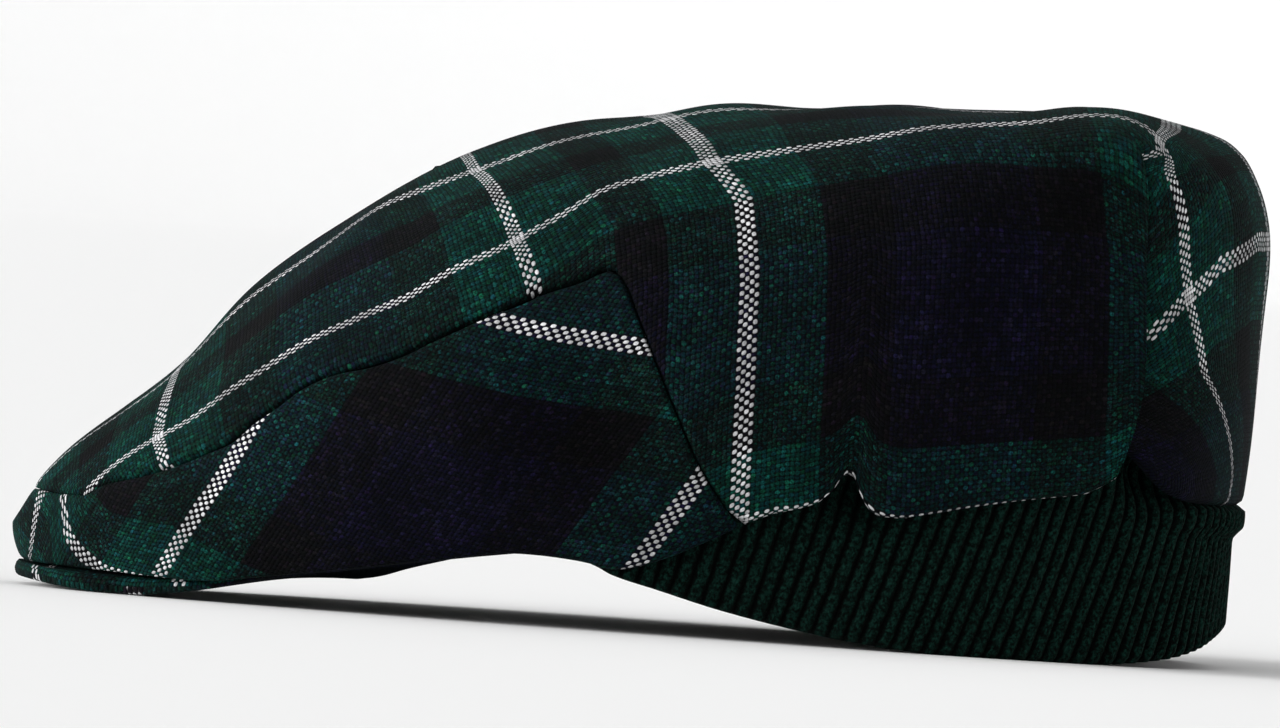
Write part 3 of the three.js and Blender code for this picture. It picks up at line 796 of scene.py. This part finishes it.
class StudioSettings(bpy.types.PropertyGroup):
    """Camera and light."""

    distance: bpy.props.FloatProperty(
        name="Camera distance", description="From the camera to the middle of the cap",
        default=5.0, min=0.3, subtype="DISTANCE", unit="LENGTH")
    elevation: bpy.props.FloatProperty(
        name="Camera elevation", description="How far the camera looks down",
        default=math.radians(0.5), subtype="ANGLE", unit="ROTATION")
    roll: bpy.props.FloatProperty(
        name="Camera roll", description="How far the camera leans to one side",
        default=math.radians(4.05), subtype="ANGLE", unit="ROTATION")
    view_width: bpy.props.FloatProperty(
        name="View width", description="Width of the view at the middle of the cap",
        default=0.288, min=0.05, subtype="DISTANCE", unit="LENGTH")
    floor_radius: bpy.props.FloatProperty(
        name="Floor radius", description="From the cap to the wall that the floor curves up into",
        default=24.0, min=2.0, subtype="DISTANCE", unit="LENGTH")
    floor_bend: bpy.props.FloatProperty(
        name="Floor bend", description="Radius of the curve between the floor and the wall",
        default=2.0, min=0.5, subtype="DISTANCE", unit="LENGTH")
    floor: bpy.props.FloatVectorProperty(
        name="Floor", description="Colour of the floor",
        default=(0.94, 0.94, 0.94), min=0, max=1, subtype="COLOR")
    sky: bpy.props.FloatProperty(
        name="Sky", description="Strength of the even light from all sides",
        default=0.58, min=0)
    key: bpy.props.FloatProperty(
        name="Key light", description="Strength of the low light from the front of the cap",
        default=5.2, min=0)
    fill: bpy.props.FloatProperty(
        name="Fill light", description="Strength of the light from the camera's side",
        default=0.7, min=0)


class Nodes:
    """Short calls for building a material's node tree."""

    def __init__(self, name):
        self.material = bpy.data.materials.new(name)
        self.material.use_nodes = True
        self.tree = self.material.node_tree
        self.shader = self.tree.nodes["Principled BSDF"]

    def add(self, kind, **values):
        node = self.tree.nodes.new(kind)
        for key, value in values.items():
            setattr(node, key, value)
        return node

    def join(self, source, target):
        self.tree.links.new(source, target)

    def feed(self, socket, value):
        """A link for another node's output, or else the socket's own value."""
        if isinstance(value, bpy.types.NodeSocket):
            self.join(value, socket)
        else:
            socket.default_value = value

    def math(self, operation, first, second=0.0, third=0.0, clamp=False):
        node = self.add("ShaderNodeMath", operation=operation, use_clamp=clamp)
        for socket, value in zip(node.inputs, (first, second, third)):
            self.feed(socket, value)
        return node.outputs[0]

    def chain(self, operation, first, *others):
        """The same operation with each further value in turn."""
        for value in others:
            first = self.math(operation, first, value)
        return first

    def plus(self, *values):
        return self.chain("ADD", *values)

    def minus(self, first, second):
        return self.math("SUBTRACT", first, second)

    def times(self, *values):
        return self.chain("MULTIPLY", *values)

    def mix(self, share, first, second, blend="MIX"):
        node = self.add("ShaderNodeMix", data_type="RGBA", blend_type=blend)
        self.feed(node.inputs["Factor"], share)
        self.feed(node.inputs[6], first)
        self.feed(node.inputs[7], second)
        return node.outputs[2]

    def blend(self, share, first, second):
        node = self.add("ShaderNodeMix", data_type="FLOAT")
        self.feed(node.inputs["Factor"], share)
        self.feed(node.inputs[2], first)
        self.feed(node.inputs[3], second)
        return node.outputs[0]

    def noise(self, vector, scale, detail=2.0, roughness=0.5):
        node = self.add("ShaderNodeTexNoise")
        self.join(vector, node.inputs["Vector"])
        node.inputs["Scale"].default_value = scale
        node.inputs["Detail"].default_value = detail
        node.inputs["Roughness"].default_value = roughness
        return node.outputs["Fac"]

    def remap(self, value, low, high, to_low, to_high):
        node = self.add("ShaderNodeMapRange", interpolation_type="SMOOTHSTEP")
        self.feed(node.inputs["Value"], value)
        for key, number in (("From Min", low), ("From Max", high), ("To Min", to_low), ("To Max", to_high)):
            node.inputs[key].default_value = number
        return node.outputs["Result"]

    def combine(self, x, y, z=0.0):
        node = self.add("ShaderNodeCombineXYZ")
        for socket, value in zip(node.inputs, (x, y, z)):
            self.feed(socket, value)
        return node.outputs[0]

    def both_ways(self, uv_name):
        """The two measures of one of the piece's own maps."""
        parts = self.add("ShaderNodeSeparateXYZ")
        self.join(self.add("ShaderNodeUVMap", uv_map=uv_name).outputs["UV"], parts.inputs[0])
        return parts.outputs["X"], parts.outputs["Y"]

    def chance(self, x, y):
        """White noise with its own value for each pair of whole numbers."""
        node = self.add("ShaderNodeTexWhiteNoise", noise_dimensions="2D")
        self.join(self.combine(x, y), node.inputs["Vector"])
        return node.outputs

    def finish(self, colour, height, strength, distance, values):
        """The shader's colour, its bump from a height, and its own values by socket name."""
        bump = self.add("ShaderNodeBump")
        bump.inputs["Strength"].default_value = strength
        bump.inputs["Distance"].default_value = distance
        self.join(height, bump.inputs["Height"])
        self.join(bump.outputs["Normal"], self.shader.inputs["Normal"])
        self.join(colour, self.shader.inputs["Base Color"])
        for name, value in values.items():
            self.shader.inputs[name].default_value = value


def sett_colour(nodes, thread):
    """The colour of one thread number, from a ramp with sharp steps over one repeat of the sett,
    and how strongly its fibres show through, 0 for a white thread and at most 1 for a dark one."""
    s = settings()
    colours = {
        "white": s.white, "green": s.green, "black": s.black, "blue": s.blue,
        "overcheck": [0.75 * c for c in s.blue],
    }
    # How strongly fibres of a thread show through the one above it
    strength = {"white": 0.0, "green": 0.5, "black": 1.0, "blue": 0.7, "overcheck": 0.7}
    share = nodes.math("FRACT", nodes.math("DIVIDE", nodes.plus(thread, 0.5), SETT_THREADS))
    ramp = nodes.add("ShaderNodeValToRGB")
    ramp.color_ramp.interpolation = "CONSTANT"
    stops = ramp.color_ramp.elements
    count = 0
    for k, (threads, name) in enumerate(SETT):
        place = count / SETT_THREADS
        stop = stops[k] if k < 2 else stops.new(place)
        stop.position = place
        stop.color = (*colours[name], strength[name])
        count += threads
    nodes.join(share, ramp.inputs["Fac"])
    return ramp.outputs["Color"], ramp.outputs["Alpha"]


def tartan_material():
    """Plain-weave wool: each cell shows its warp or weft thread as a round bead with its own shade, painted
    lighter on its crown as a painted highlight and darker at its rim as painted shade in the gaps between
    threads.
    """
    if "Tartan wool" in bpy.data.materials:
        return bpy.data.materials["Tartan wool"]
    nodes = Nodes("Tartan wool")
    place = nodes.add("ShaderNodeTexCoord").outputs["Object"]
    sway = nodes.times(nodes.minus(nodes.noise(place, 260.0, 1.0), 0.5), 0.5)
    along, around = nodes.both_ways("Weave")
    u = nodes.plus(along, sway)
    v = nodes.minus(around, sway)
    warp = nodes.math("FLOOR", u)
    weft = nodes.math("FLOOR", v)
    # From -1 to 1 across each thread
    across_warp = nodes.minus(nodes.times(nodes.math("FRACT", u), 2.0), 1.0)
    across_weft = nodes.minus(nodes.times(nodes.math("FRACT", v), 2.0), 1.0)
    square_u = nodes.times(across_warp, across_warp)
    square_v = nodes.times(across_weft, across_weft)
    # 1 where the warp thread lies over the weft thread, 0 where it lies under it
    over = nodes.math("FLOORED_MODULO", nodes.plus(warp, weft), 2.0)
    # A bead is an ellipse: narrow across its thread and longer along it
    narrow = nodes.blend(over, square_v, square_u)
    lengthwise = nodes.blend(over, square_u, square_v)
    ellipse = nodes.plus(narrow, nodes.times(lengthwise, BEAD_LENGTHENING))
    bead = nodes.math("SQRT", nodes.math("SUBTRACT", 1.0, nodes.times(ellipse, BEAD_ROUNDNESS), clamp=True))
    weft_colour, weft_dark = sett_colour(nodes, weft)
    warp_colour, warp_dark = sett_colour(nodes, warp)
    dark = nodes.math("MULTIPLY", nodes.blend(over, weft_dark, warp_dark), 2.0, clamp=True)
    hidden = nodes.blend(over, warp_dark, weft_dark)
    fibre = nodes.noise(place, 2600.0, 3.0, 0.7)
    # Fibres of the thread below show through, except where one of the two is white
    through = nodes.remap(nodes.noise(place, 1500.0, 2.0, 0.7), 0.43, 0.59, 0.12, 0.92)
    through = nodes.times(through, nodes.times(dark, hidden))
    top = nodes.mix(over, weft_colour, warp_colour)
    below = nodes.mix(over, warp_colour, weft_colour)
    colour = nodes.mix(through, top, below)
    # Each bead and each thread has its own shade, dark ones with a few bright specks among them. Each bead
    # also gets a painted highlight on its crown and painted shade at its rim, where the gaps between threads
    # lie.
    cell = nodes.chance(warp, weft)
    yarn = nodes.chance(nodes.blend(over, weft, warp), over)
    value = cell["Value"]
    # The last factor of each shade is painted light: a painted highlight on the bead's crown and painted
    # shade at its rim and in the gaps
    dark_shade = nodes.times(
        nodes.plus(nodes.times(value, value, value, 1.5), 0.65),
        nodes.remap(fibre, 0.36, 0.66, 0.35, 1.7),
        nodes.remap(bead, 0.5, 0.9, 0.15, 1.4))
    white_shade = nodes.times(
        nodes.plus(nodes.times(value, 0.35), 0.75),
        nodes.remap(fibre, 0.36, 0.66, 0.75, 1.15),
        nodes.remap(bead, 0.55, 0.88, 0.06, 1.15))
    shade = nodes.times(
        nodes.blend(dark, white_shade, dark_shade),
        nodes.plus(nodes.times(yarn["Value"], 0.4), 0.8),
        nodes.remap(nodes.noise(place, 55.0, 3.0, 0.6), 0.32, 0.68, 0.72, 1.28))
    hue = nodes.mix(0.4, (1, 1, 1, 1), cell["Color"])
    colour = nodes.mix(dark, colour, nodes.mix(1.0, colour, hue, "MULTIPLY"))
    colour = nodes.mix(1.0, colour, nodes.combine(shade, shade, shade), "MULTIPLY")
    height = nodes.plus(bead, nodes.times(fibre, 0.35))
    nodes.finish(colour, height, 0.9, 0.0005, {
        "Roughness": 0.85, "Specular IOR Level": 0.05, "Sheen Weight": 0.008,
        "Sheen Roughness": 0.45, "Sheen Tint": (0.3, 0.75, 0.7, 1),
    })
    return nodes.material


def knit_material():
    """Brushed rib knit: slanting stitches along each rib, painted shade in the grooves between the ribs and
    between the rows of stitches, and a soft nap.
    """
    nodes = Nodes("Rib knit")
    place = nodes.add("ShaderNodeTexCoord").outputs["Object"]
    across, up = nodes.both_ways("Stitch")
    sway = nodes.noise(place, 300.0, 2.0)
    wander = nodes.minus(nodes.noise(place, 420.0, 3.0, 0.6), 0.5)
    rib = nodes.plus(across, nodes.times(wander, 0.5))
    # Distance from the rib's crest, 0 on the crest and 1 in the groove
    beside = nodes.math("ABSOLUTE", nodes.minus(nodes.times(nodes.math("FRACT", rib), 2.0), 1.0))
    # The rows of stitches slant down from the crest
    row = nodes.plus(up, nodes.times(beside, 0.9), nodes.times(nodes.minus(sway, 0.5), 0.9))
    wave = nodes.math("SINE", nodes.times(row, 2 * math.pi))
    loop = nodes.plus(nodes.times(wave, 0.5), 0.5)
    fibre = nodes.noise(place, 2200.0, 4.0, 0.75)
    strands = nodes.noise(nodes.combine(nodes.times(rib, 9.0), nodes.times(row, 1.2)), 1.0, 3.0, 0.7)
    # Painted shade: near black in the grooves between ribs, a little lighter on the crests, and slightly
    # darker between the stitch rows; the other factors are the yarn's own mottled tone
    shade = nodes.times(
        nodes.remap(beside, 0.42, 0.84, 1.15, 0.05),
        nodes.plus(nodes.times(loop, 0.3), 0.8),
        nodes.remap(strands, 0.35, 0.65, 0.55, 1.5),
        nodes.remap(nodes.noise(place, 1100.0, 3.0, 0.75), 0.4, 0.62, 0.28, 2.1),
        nodes.plus(fibre, 0.5))
    grey = nodes.combine(shade, shade, shade)
    colour = nodes.mix(1.0, (*settings().knit, 1.0), grey, "MULTIPLY")
    height = nodes.plus(nodes.times(loop, 0.5), nodes.times(fibre, 0.6), nodes.times(strands, 0.6))
    nodes.finish(colour, height, 0.8, 0.0006, {
        "Roughness": 0.9, "Specular IOR Level": 0.04, "Sheen Weight": 0.012,
        "Sheen Roughness": 0.5, "Sheen Tint": (0.5, 0.75, 0.62, 1),
    })
    return nodes.material


class CAP_OT_crown(bpy.types.Operator):
    """Build the top panel with its wings, darts and back flap"""

    bl_idname = "flat_cap.crown"
    bl_label = "Top panel"

    def execute(self, context):
        dart = float(angle_at_x(DART_X))
        notch = angle_at_x(np.array(NOTCH_X))
        before, inside, behind = WING_COLUMNS
        wing = np.concatenate([
            np.linspace(0.0, notch[0], before)[:-1],
            np.linspace(notch[0], notch[1], inside)[:-1],
            np.linspace(notch[1], dart, behind),
        ])
        flap = np.linspace(dart, 180.0, FLAP_COLUMNS)
        grids = [
            turned_for(side, crown_part(angle, part, side, CROWN_ROWS))
            for side in (-1, 1) for angle, part in ((wing, "wing"), (flap, "flap"))
        ]
        piece = put_mesh("crown_cloth", grids, "Weave", tartan_material())
        turn_outwards(piece)
        thicken(piece, settings().cloth_thickness)
        finish_piece(piece, "top_panel")
        declare_sheet(piece)
        return {"FINISHED"}


class CAP_OT_cheeks(bpy.types.Operator):
    """Build the two cheek panels in front of the wings"""

    bl_idname = "flat_cap.cheeks"
    bl_label = "Cheek panels"

    def execute(self, context):
        for side, name in ((-1, "left"), (1, "right")):
            grid = turned_for(side, cheek_part(side))
            piece = put_mesh(f"cheek_cloth_{name}", [grid], "Weave", tartan_material())
            turn_outwards(piece)
            thicken(piece, settings().cloth_thickness)
            finish_piece(piece, f"side_panel_{name}")
            declare_sheet(piece)
        return {"FINISHED"}


def plan_length(x):
    """Length along the plan outline from x = 0, negative in front of it."""
    angle = np.linspace(0.0, 180.0, 1801)
    out_x, out_y = outline_at(angle)
    length = np.concatenate([[0.0], np.cumsum(np.hypot(np.diff(out_x), np.diff(out_y)))])
    return np.interp(x, out_x, length) - np.interp(0.0, out_x, length)


def cheek_weave(points):
    """Thread numbers of a cheek, whose grain is turned: one way slants with the length round the cap,
    the other follows a line that steepens with the square of the way to the front."""
    s = plan_length(points[..., 0])
    z = points[..., 2]
    ahead = np.maximum(CHEEK_LINE_START - s, CHEEK_LINE_BACK)
    front = np.maximum(ahead, 0.0)
    line = CHEEK_LINE_Z + CHEEK_LINE_SLOPE * ahead + CHEEK_LINE_GROWTH * front ** 2
    first = CHEEK_LINE_STRETCH * (z - line) + lookup(CHEEK_BEND, 1, s)
    # Where the bend is steep its threads keep their distance from the stripe at the nose
    plain = CHEEK_LINE_SLOPE + 2 * CHEEK_LINE_GROWTH * front
    bend = lookup(CHEEK_BEND, 1, s + 0.5) - lookup(CHEEK_BEND, 1, s - 0.5)
    steep = plain + bend / CHEEK_LINE_STRETCH
    kept = np.sqrt((1 + plain ** 2) / (1 + steep ** 2))
    first = NOSE_STRIPE_CLOTH + (first - NOSE_STRIPE_CLOTH) * kept
    upright = NOSE_UPRIGHT * smooth(-s, *NOSE_UPRIGHT_FROM)
    of_length, of_height, start, stretch = CHEEK_SLANT
    height = z + (NOSE_UPRIGHT_Z - z) * upright
    second = stretch * (of_length * s - of_height * height + start) + lookup(CHEEK_BEND, 2, s)
    second = narrowed(second, TIP_STRIPE_CLOTH, TIP_NARROWING, TIP_NARROWING_REACH)
    pitch = settings().thread_pitch / MM
    return np.stack([second / pitch, first / pitch], axis=-1)


def cheek_part(side):
    """One cheek: the crown's surface between the seam and the hem, with both edges rolled in."""
    angle = np.linspace(0.0, float(angle_at_x(SEAM[-1, 0] - 0.6)), CHEEK_COLUMNS)
    x, _ = outline_at(angle)
    slope = np.abs(lookup(SEAM, 1, x + 1) - lookup(SEAM, 1, x - 1)) / 2
    tops = falls_to(angle, lambda at: lookup(SEAM, 1, at) - SEAM_GAP)
    tops = np.minimum(tops + SEAM_GAP * np.hypot(1, slope) * FALL_PER_MM, LAST_FALL)
    fall, length = even_falls(angle, tops, np.full(len(angle), 2.0), CHEEK_ROWS)
    points = crown(angle[:, None], fall)
    normals = grid_normals(points)
    from_top = length[:, None] * np.linspace(0.0, 1.0, CHEEK_ROWS)[None, :]
    from_hem = length[:, None] - from_top
    offset = cloth_relief(points, side)
    offset = offset + turned_edge(from_top, *SEAM_ROLL) * flat_at_nose(angle)
    offset = offset + turned_edge(from_hem, *CHEEK_HEM_ROLL)
    offset = offset + puckers(on_side(points, side), from_top, *CHEEK_PUCKERS)
    weave = cheek_weave(points)
    points = points + normals * offset[..., None]
    points[..., 1] = np.maximum(points[..., 1], 0.1)
    return on_side(points, side), weave


def hem_point(angle, inset):
    """The plan outline of the hem, moved inwards along the section by inset."""
    out_x, out_y = outline_at(angle)
    spine_x = spine_at(angle)
    reach = np.hypot(out_x - spine_x, out_y)
    ratio = 1 - (lookup(SECTION, DRAWN, out_x) + inset) / reach
    return spine_x + (out_x - spine_x) * ratio, out_y * ratio


def peak_shells():
    """The peak's upper and lower face: points and thread numbers of each.

    Rows run inwards from the hem's outline to an ellipse round the forehead. The plate rises
    with a sine on the way, and its thickness starts with a quarter round.
    """
    turn = np.linspace(-1.0, 1.0, PEAK_COLUMNS)
    angle = np.abs(turn) * float(angle_at_x(PEAK_END_X))
    x, _ = outline_at(angle)
    outer_x, outer_y = hem_point(angle, lookup(PEAK, PEAK_INSET, x))
    head = np.radians(angle * FOREHEAD_SHARE)
    fore_x = HEAD_CENTRE_X - HEAD_HALF_LENGTH * np.cos(head)
    fore_y = HEAD_HALF_WIDTH * np.sin(head)
    narrowing = 1 - PEAK_TEMPLE_NARROWING * turn ** 4
    share = np.linspace(0.0, 1.0, PEAK_ROWS) ** PEAK_ROW_POWER
    inwards = share[None, :] * narrowing[:, None]
    px = outer_x[:, None] + (fore_x - outer_x)[:, None] * inwards
    py = outer_y[:, None] + (fore_y - outer_y)[:, None] * inwards
    depth = np.hypot(px - outer_x[:, None], py - outer_y[:, None])
    rise = lookup(PEAK, PEAK_RISE, x)[:, None] * np.sin(share[None, :] * math.pi / 2)
    bottom = lookup(PEAK, PEAK_LOW, x)[:, None] + rise
    top = bottom + PEAK_PLATE
    # The upper face dips under the cheeks' hem, which sits on it
    inside = lookup(PEAK, PEAK_INSET, x)[:, None] + depth
    under = smooth(inside, *PEAK_DIP[:2]) * (1 - smooth(inside, *PEAK_DIP[2:]))
    top = top - under * np.maximum(top - lookup(HEM, 1, x)[:, None] + HEM_REST, 0)
    round_off = turned_edge(depth, PEAK_EDGE, 1.0) + 1
    middle = (top + bottom) / 2
    half = (top - bottom) / 2 * (PEAK_RIM + (1 - PEAK_RIM) * round_off)
    py = py * np.sign(turn)[:, None]
    pitch = settings().thread_pitch / MM
    shells = []
    for face in (1, -1):
        shell = np.stack([px, py, middle + face * half], axis=-1)
        edges = np.stack([px, py, middle], axis=-1)
        points = np.concatenate([edges[:, :1], shell, edges[:, -1:]], axis=1)
        if face > 0:
            along = run_along(np.linalg.norm(np.diff(points, axis=1), axis=-1))
            round_cap = plan_length(x)[:, None] + LIP_STRIPE + 0 * along
            weave = [round_cap / pitch + SECOND_WHITE, along / pitch + LIP_TOP_THREAD]
        else:
            weave = [points[..., k] / pitch + LIP_UNDER_THREADS[k] for k in (0, 1)]
        shells.append((points, np.stack(weave, axis=-1)))
    return shells


class CAP_OT_peak(bpy.types.Operator):
    """Build the cloth-covered peak with its turned edge"""

    bl_idname = "flat_cap.peak"
    bl_label = "Peak"

    def execute(self, context):
        piece = put_mesh("peak_cloth", peak_shells(), "Weave", tartan_material())
        weld(piece.data, fill=True, outwards=True)
        finish_piece(piece, "peak")
        return {"FINISHED"}


def band_surface(angle, up):
    """The band's smooth outer face: level up runs 0 to 1 from its lower to its upper edge."""
    x, _ = outline_at(angle)
    drawn = lookup(BAND, BAND_DRAWN, x) * (1 - up) ** BAND_CURL
    px, py = hem_point(angle, SLANTED_CLOTH + lookup(BAND, BAND_INSIDE, x) + drawn)
    low = lookup(BAND, BAND_LOW, x)
    return np.stack([px, py, low + (lookup(BAND, BAND_HIGH, x) - low) * up], axis=-1)


def band_part(side):
    """One side's half of the band: ribs are raised cosines across the band and lean back with the height."""
    s = settings()
    start = float(angle_at_x(BAND_START_X))
    path_angle = np.linspace(start, 180.0, 801)
    hx, hy = hem_point(path_angle, SLANTED_CLOTH)
    path = np.concatenate([[0.0], np.cumsum(np.hypot(np.diff(hx), np.diff(hy)))])
    ribs = round(path[-1] / (s.rib_pitch / MM))
    foot = np.linspace(0.0, path[-1], ribs * RIB_POINTS + 1)
    up = np.linspace(0.0, 1.0, BAND_ROWS)
    base = band_surface(np.interp(foot, path, path_angle)[:, None], up[None, :])
    rise = base[..., 2] - base[:, :1, 2]
    upright = np.clip((path[-1] - foot) / RIB_UPRIGHT_OVER, 0, 1)
    along = np.minimum(foot[:, None] + rise * math.tan(s.rib_lean) * upright[:, None], path[-1])
    points = band_surface(np.interp(along, path, path_angle), up[None, :] + 0 * along)
    x, _, z = np.moveaxis(points, -1, 0)
    # The rows go up, so the grid's normals point inwards; they lie level, and along X at the back
    normals = -grid_normals(points)
    normals[..., 2] = 0
    normals[-1, :, 1] = 0
    normals = unit(normals)
    phase = foot / path[-1] * ribs
    crest = np.abs(np.cos(math.pi * phase)) ** RIB_SQUARENESS
    offset = -s.rib_depth / MM * (1 - crest)[:, None] + turned_edge(rise, *BAND_EDGE_ROLL)
    height, seed, length = BAND_WAVES
    offset = offset + height * waves(on_side(points, side), seed, length)
    for hollow_x, hollow_z, reach, depth in BAND_HOLLOWS:
        offset = offset - depth * np.exp(-(np.hypot(x - hollow_x, z - hollow_z) / reach) ** 2)
    start_z, full_z, under_z, end_z = BAND_ROLL_Z
    roll = smooth(z, start_z, full_z) * (1 - smooth(z, under_z, end_z))
    offset = offset + BAND_ROLL_OUT * roll * smooth(x, *BAND_ROLL_X)
    from_x, to_x, below, over, spread = BAND_SPREAD
    offset = offset + spread * smooth(x, from_x, to_x) * smooth(below - z, 0.0, over)
    stitch = np.stack([phase[:, None] + 0.5 + 0 * rise, rise / STITCH_ROW], axis=-1)
    return on_side(points + normals * offset[..., None], side), stitch


class CAP_OT_band(bpy.types.Operator):
    """Build the ribbed knit band round the back"""

    bl_idname = "flat_cap.band"
    bl_label = "Knit band"

    def execute(self, context):
        grids = [turned_for(side, band_part(side)) for side in (-1, 1)]
        piece = put_mesh("rib_knit_band", grids, "Stitch", knit_material())
        turn_outwards(piece)
        thicken(piece, settings().knit_thickness)
        finish_piece(piece, "knit_band")
        declare_sheet(piece)
        return {"FINISHED"}


class CAP_OT_stage(bpy.types.Operator):
    """Set up the floor, the light and the camera"""

    bl_idname = "flat_cap.stage"
    bl_label = "Studio"

    def execute(self, context):
        s = studio()
        floor = bpy.data.objects.new("floor", floor_mesh(s))
        context.scene.collection.objects.link(floor)
        paint = Nodes("Pale floor")
        paint.shader.inputs["Base Color"].default_value = (*s.floor, 1)
        paint.shader.inputs["Roughness"].default_value = 0.9
        floor.data.materials.append(paint.material)
        world = bpy.data.worlds.new("Studio")
        context.scene.world = world
        world.use_nodes = True
        sky = world.node_tree.nodes["Background"]
        sky.inputs["Color"].default_value = (1, 1, 1, 1)
        sky.inputs["Strength"].default_value = s.sky
        add_sun("key", (-1.0, -0.16, 0.2), s.key, 30)
        add_sun("fill", (-0.5, -1.0, 0.4), s.fill, 50)
        context.scene.view_settings.view_transform = "Standard"
        add_camera(context, s)
        return {"FINISHED"}


def floor_mesh(s):
    """A round floor that curves up at its rim: flat to the bend, then a quarter circle, then a wall."""
    bend = s.floor_radius - s.floor_bend
    flat = np.linspace(0.0, bend, 8)
    turn = np.radians(np.linspace(0.0, 90.0, 25))[1:]
    radius = np.concatenate([flat, bend + s.floor_bend * np.sin(turn), [s.floor_radius]])
    height = np.concatenate([0 * flat, s.floor_bend * (1 - np.cos(turn)), [s.floor_bend + 1.0]])
    around = np.linspace(0.0, 2 * np.pi, 97)
    grid = np.stack([
        np.cos(around)[:, None] * radius,
        np.sin(around)[:, None] * radius,
        0 * around[:, None] + height,
    ], axis=-1)
    mesh = bpy.data.meshes.new("floor")
    mesh.from_pydata(grid.reshape(-1, 3).tolist(), [], grid_faces(*grid.shape[:2])[:, ::-1].tolist())
    weld(mesh, distance=1e-4, outwards=True)
    return mesh


def add_sun(name, towards, strength, spread):
    """A soft light that shines from a direction, as wide as the spread in degrees."""
    light = bpy.data.lights.new(name, "SUN")
    light.energy = strength
    light.angle = math.radians(spread)
    lamp = bpy.data.objects.new(name, light)
    lamp.rotation_mode = "QUATERNION"
    lamp.rotation_quaternion = Vector(towards).to_track_quat("Z", "Y")
    bpy.context.scene.collection.objects.link(lamp)


def add_camera(context, s):
    """The camera looks along +Y from a little above, leaning so that the cap's peak shows raised."""
    data = bpy.data.cameras.new("camera")
    data.sensor_width = 36.0
    data.lens = data.sensor_width * s.distance / s.view_width
    data.clip_end = CAMERA_SEES
    camera = bpy.data.objects.new("camera", data)
    target = Vector(CAMERA_TARGET)
    back = Vector((0.0, -math.cos(s.elevation), math.sin(s.elevation)))
    level = Vector((1.0, 0.0, 0.0))
    upright = back.cross(level)
    right = level * math.cos(s.roll) + upright * math.sin(s.roll)
    up = upright * math.cos(s.roll) - level * math.sin(s.roll)
    turn = Matrix((right, up, back)).transposed()
    camera.matrix_world = Matrix.Translation(target + back * s.distance) @ turn.to_4x4()
    context.scene.collection.objects.link(camera)
    context.scene.camera = camera


class CAP_PT_panel(bpy.types.Panel):
    """The cap's pieces and settings in the sidebar"""

    bl_idname = "CAP_PT_panel"
    bl_label = "Flat Cap"
    bl_space_type = "VIEW_3D"
    bl_region_type = "UI"
    bl_category = "Flat Cap"

    def draw(self, context):
        layout = self.layout
        for group in (context.scene.flat_cap, context.scene.flat_cap_studio):
            for name in group.__annotations__:
                layout.prop(group, name)
        for operator in OPERATORS:
            layout.operator(operator.bl_idname)


GROUPS = (CapSettings, StudioSettings)
OPERATORS = (CAP_OT_stage, CAP_OT_crown, CAP_OT_cheeks, CAP_OT_peak, CAP_OT_band)


def register():
    """Makes the settings, operators and panel known to Blender."""
    for item in (*GROUPS, *OPERATORS, CAP_PT_panel):
        bpy.utils.register_class(item)
    bpy.types.Scene.flat_cap = bpy.props.PointerProperty(type=CapSettings)
    bpy.types.Scene.flat_cap_studio = bpy.props.PointerProperty(type=StudioSettings)


def unregister():
    """Takes them out again."""
    del bpy.types.Scene.flat_cap_studio
    del bpy.types.Scene.flat_cap
    for item in reversed((*GROUPS, *OPERATORS, CAP_PT_panel)):
        bpy.utils.unregister_class(item)


def main():
    """Builds the studio and every piece."""
    register()
    for operator in OPERATORS:
        area, name = operator.bl_idname.split(".")
        getattr(getattr(bpy.ops, area), name)()


if __name__ == "__main__":
    main()
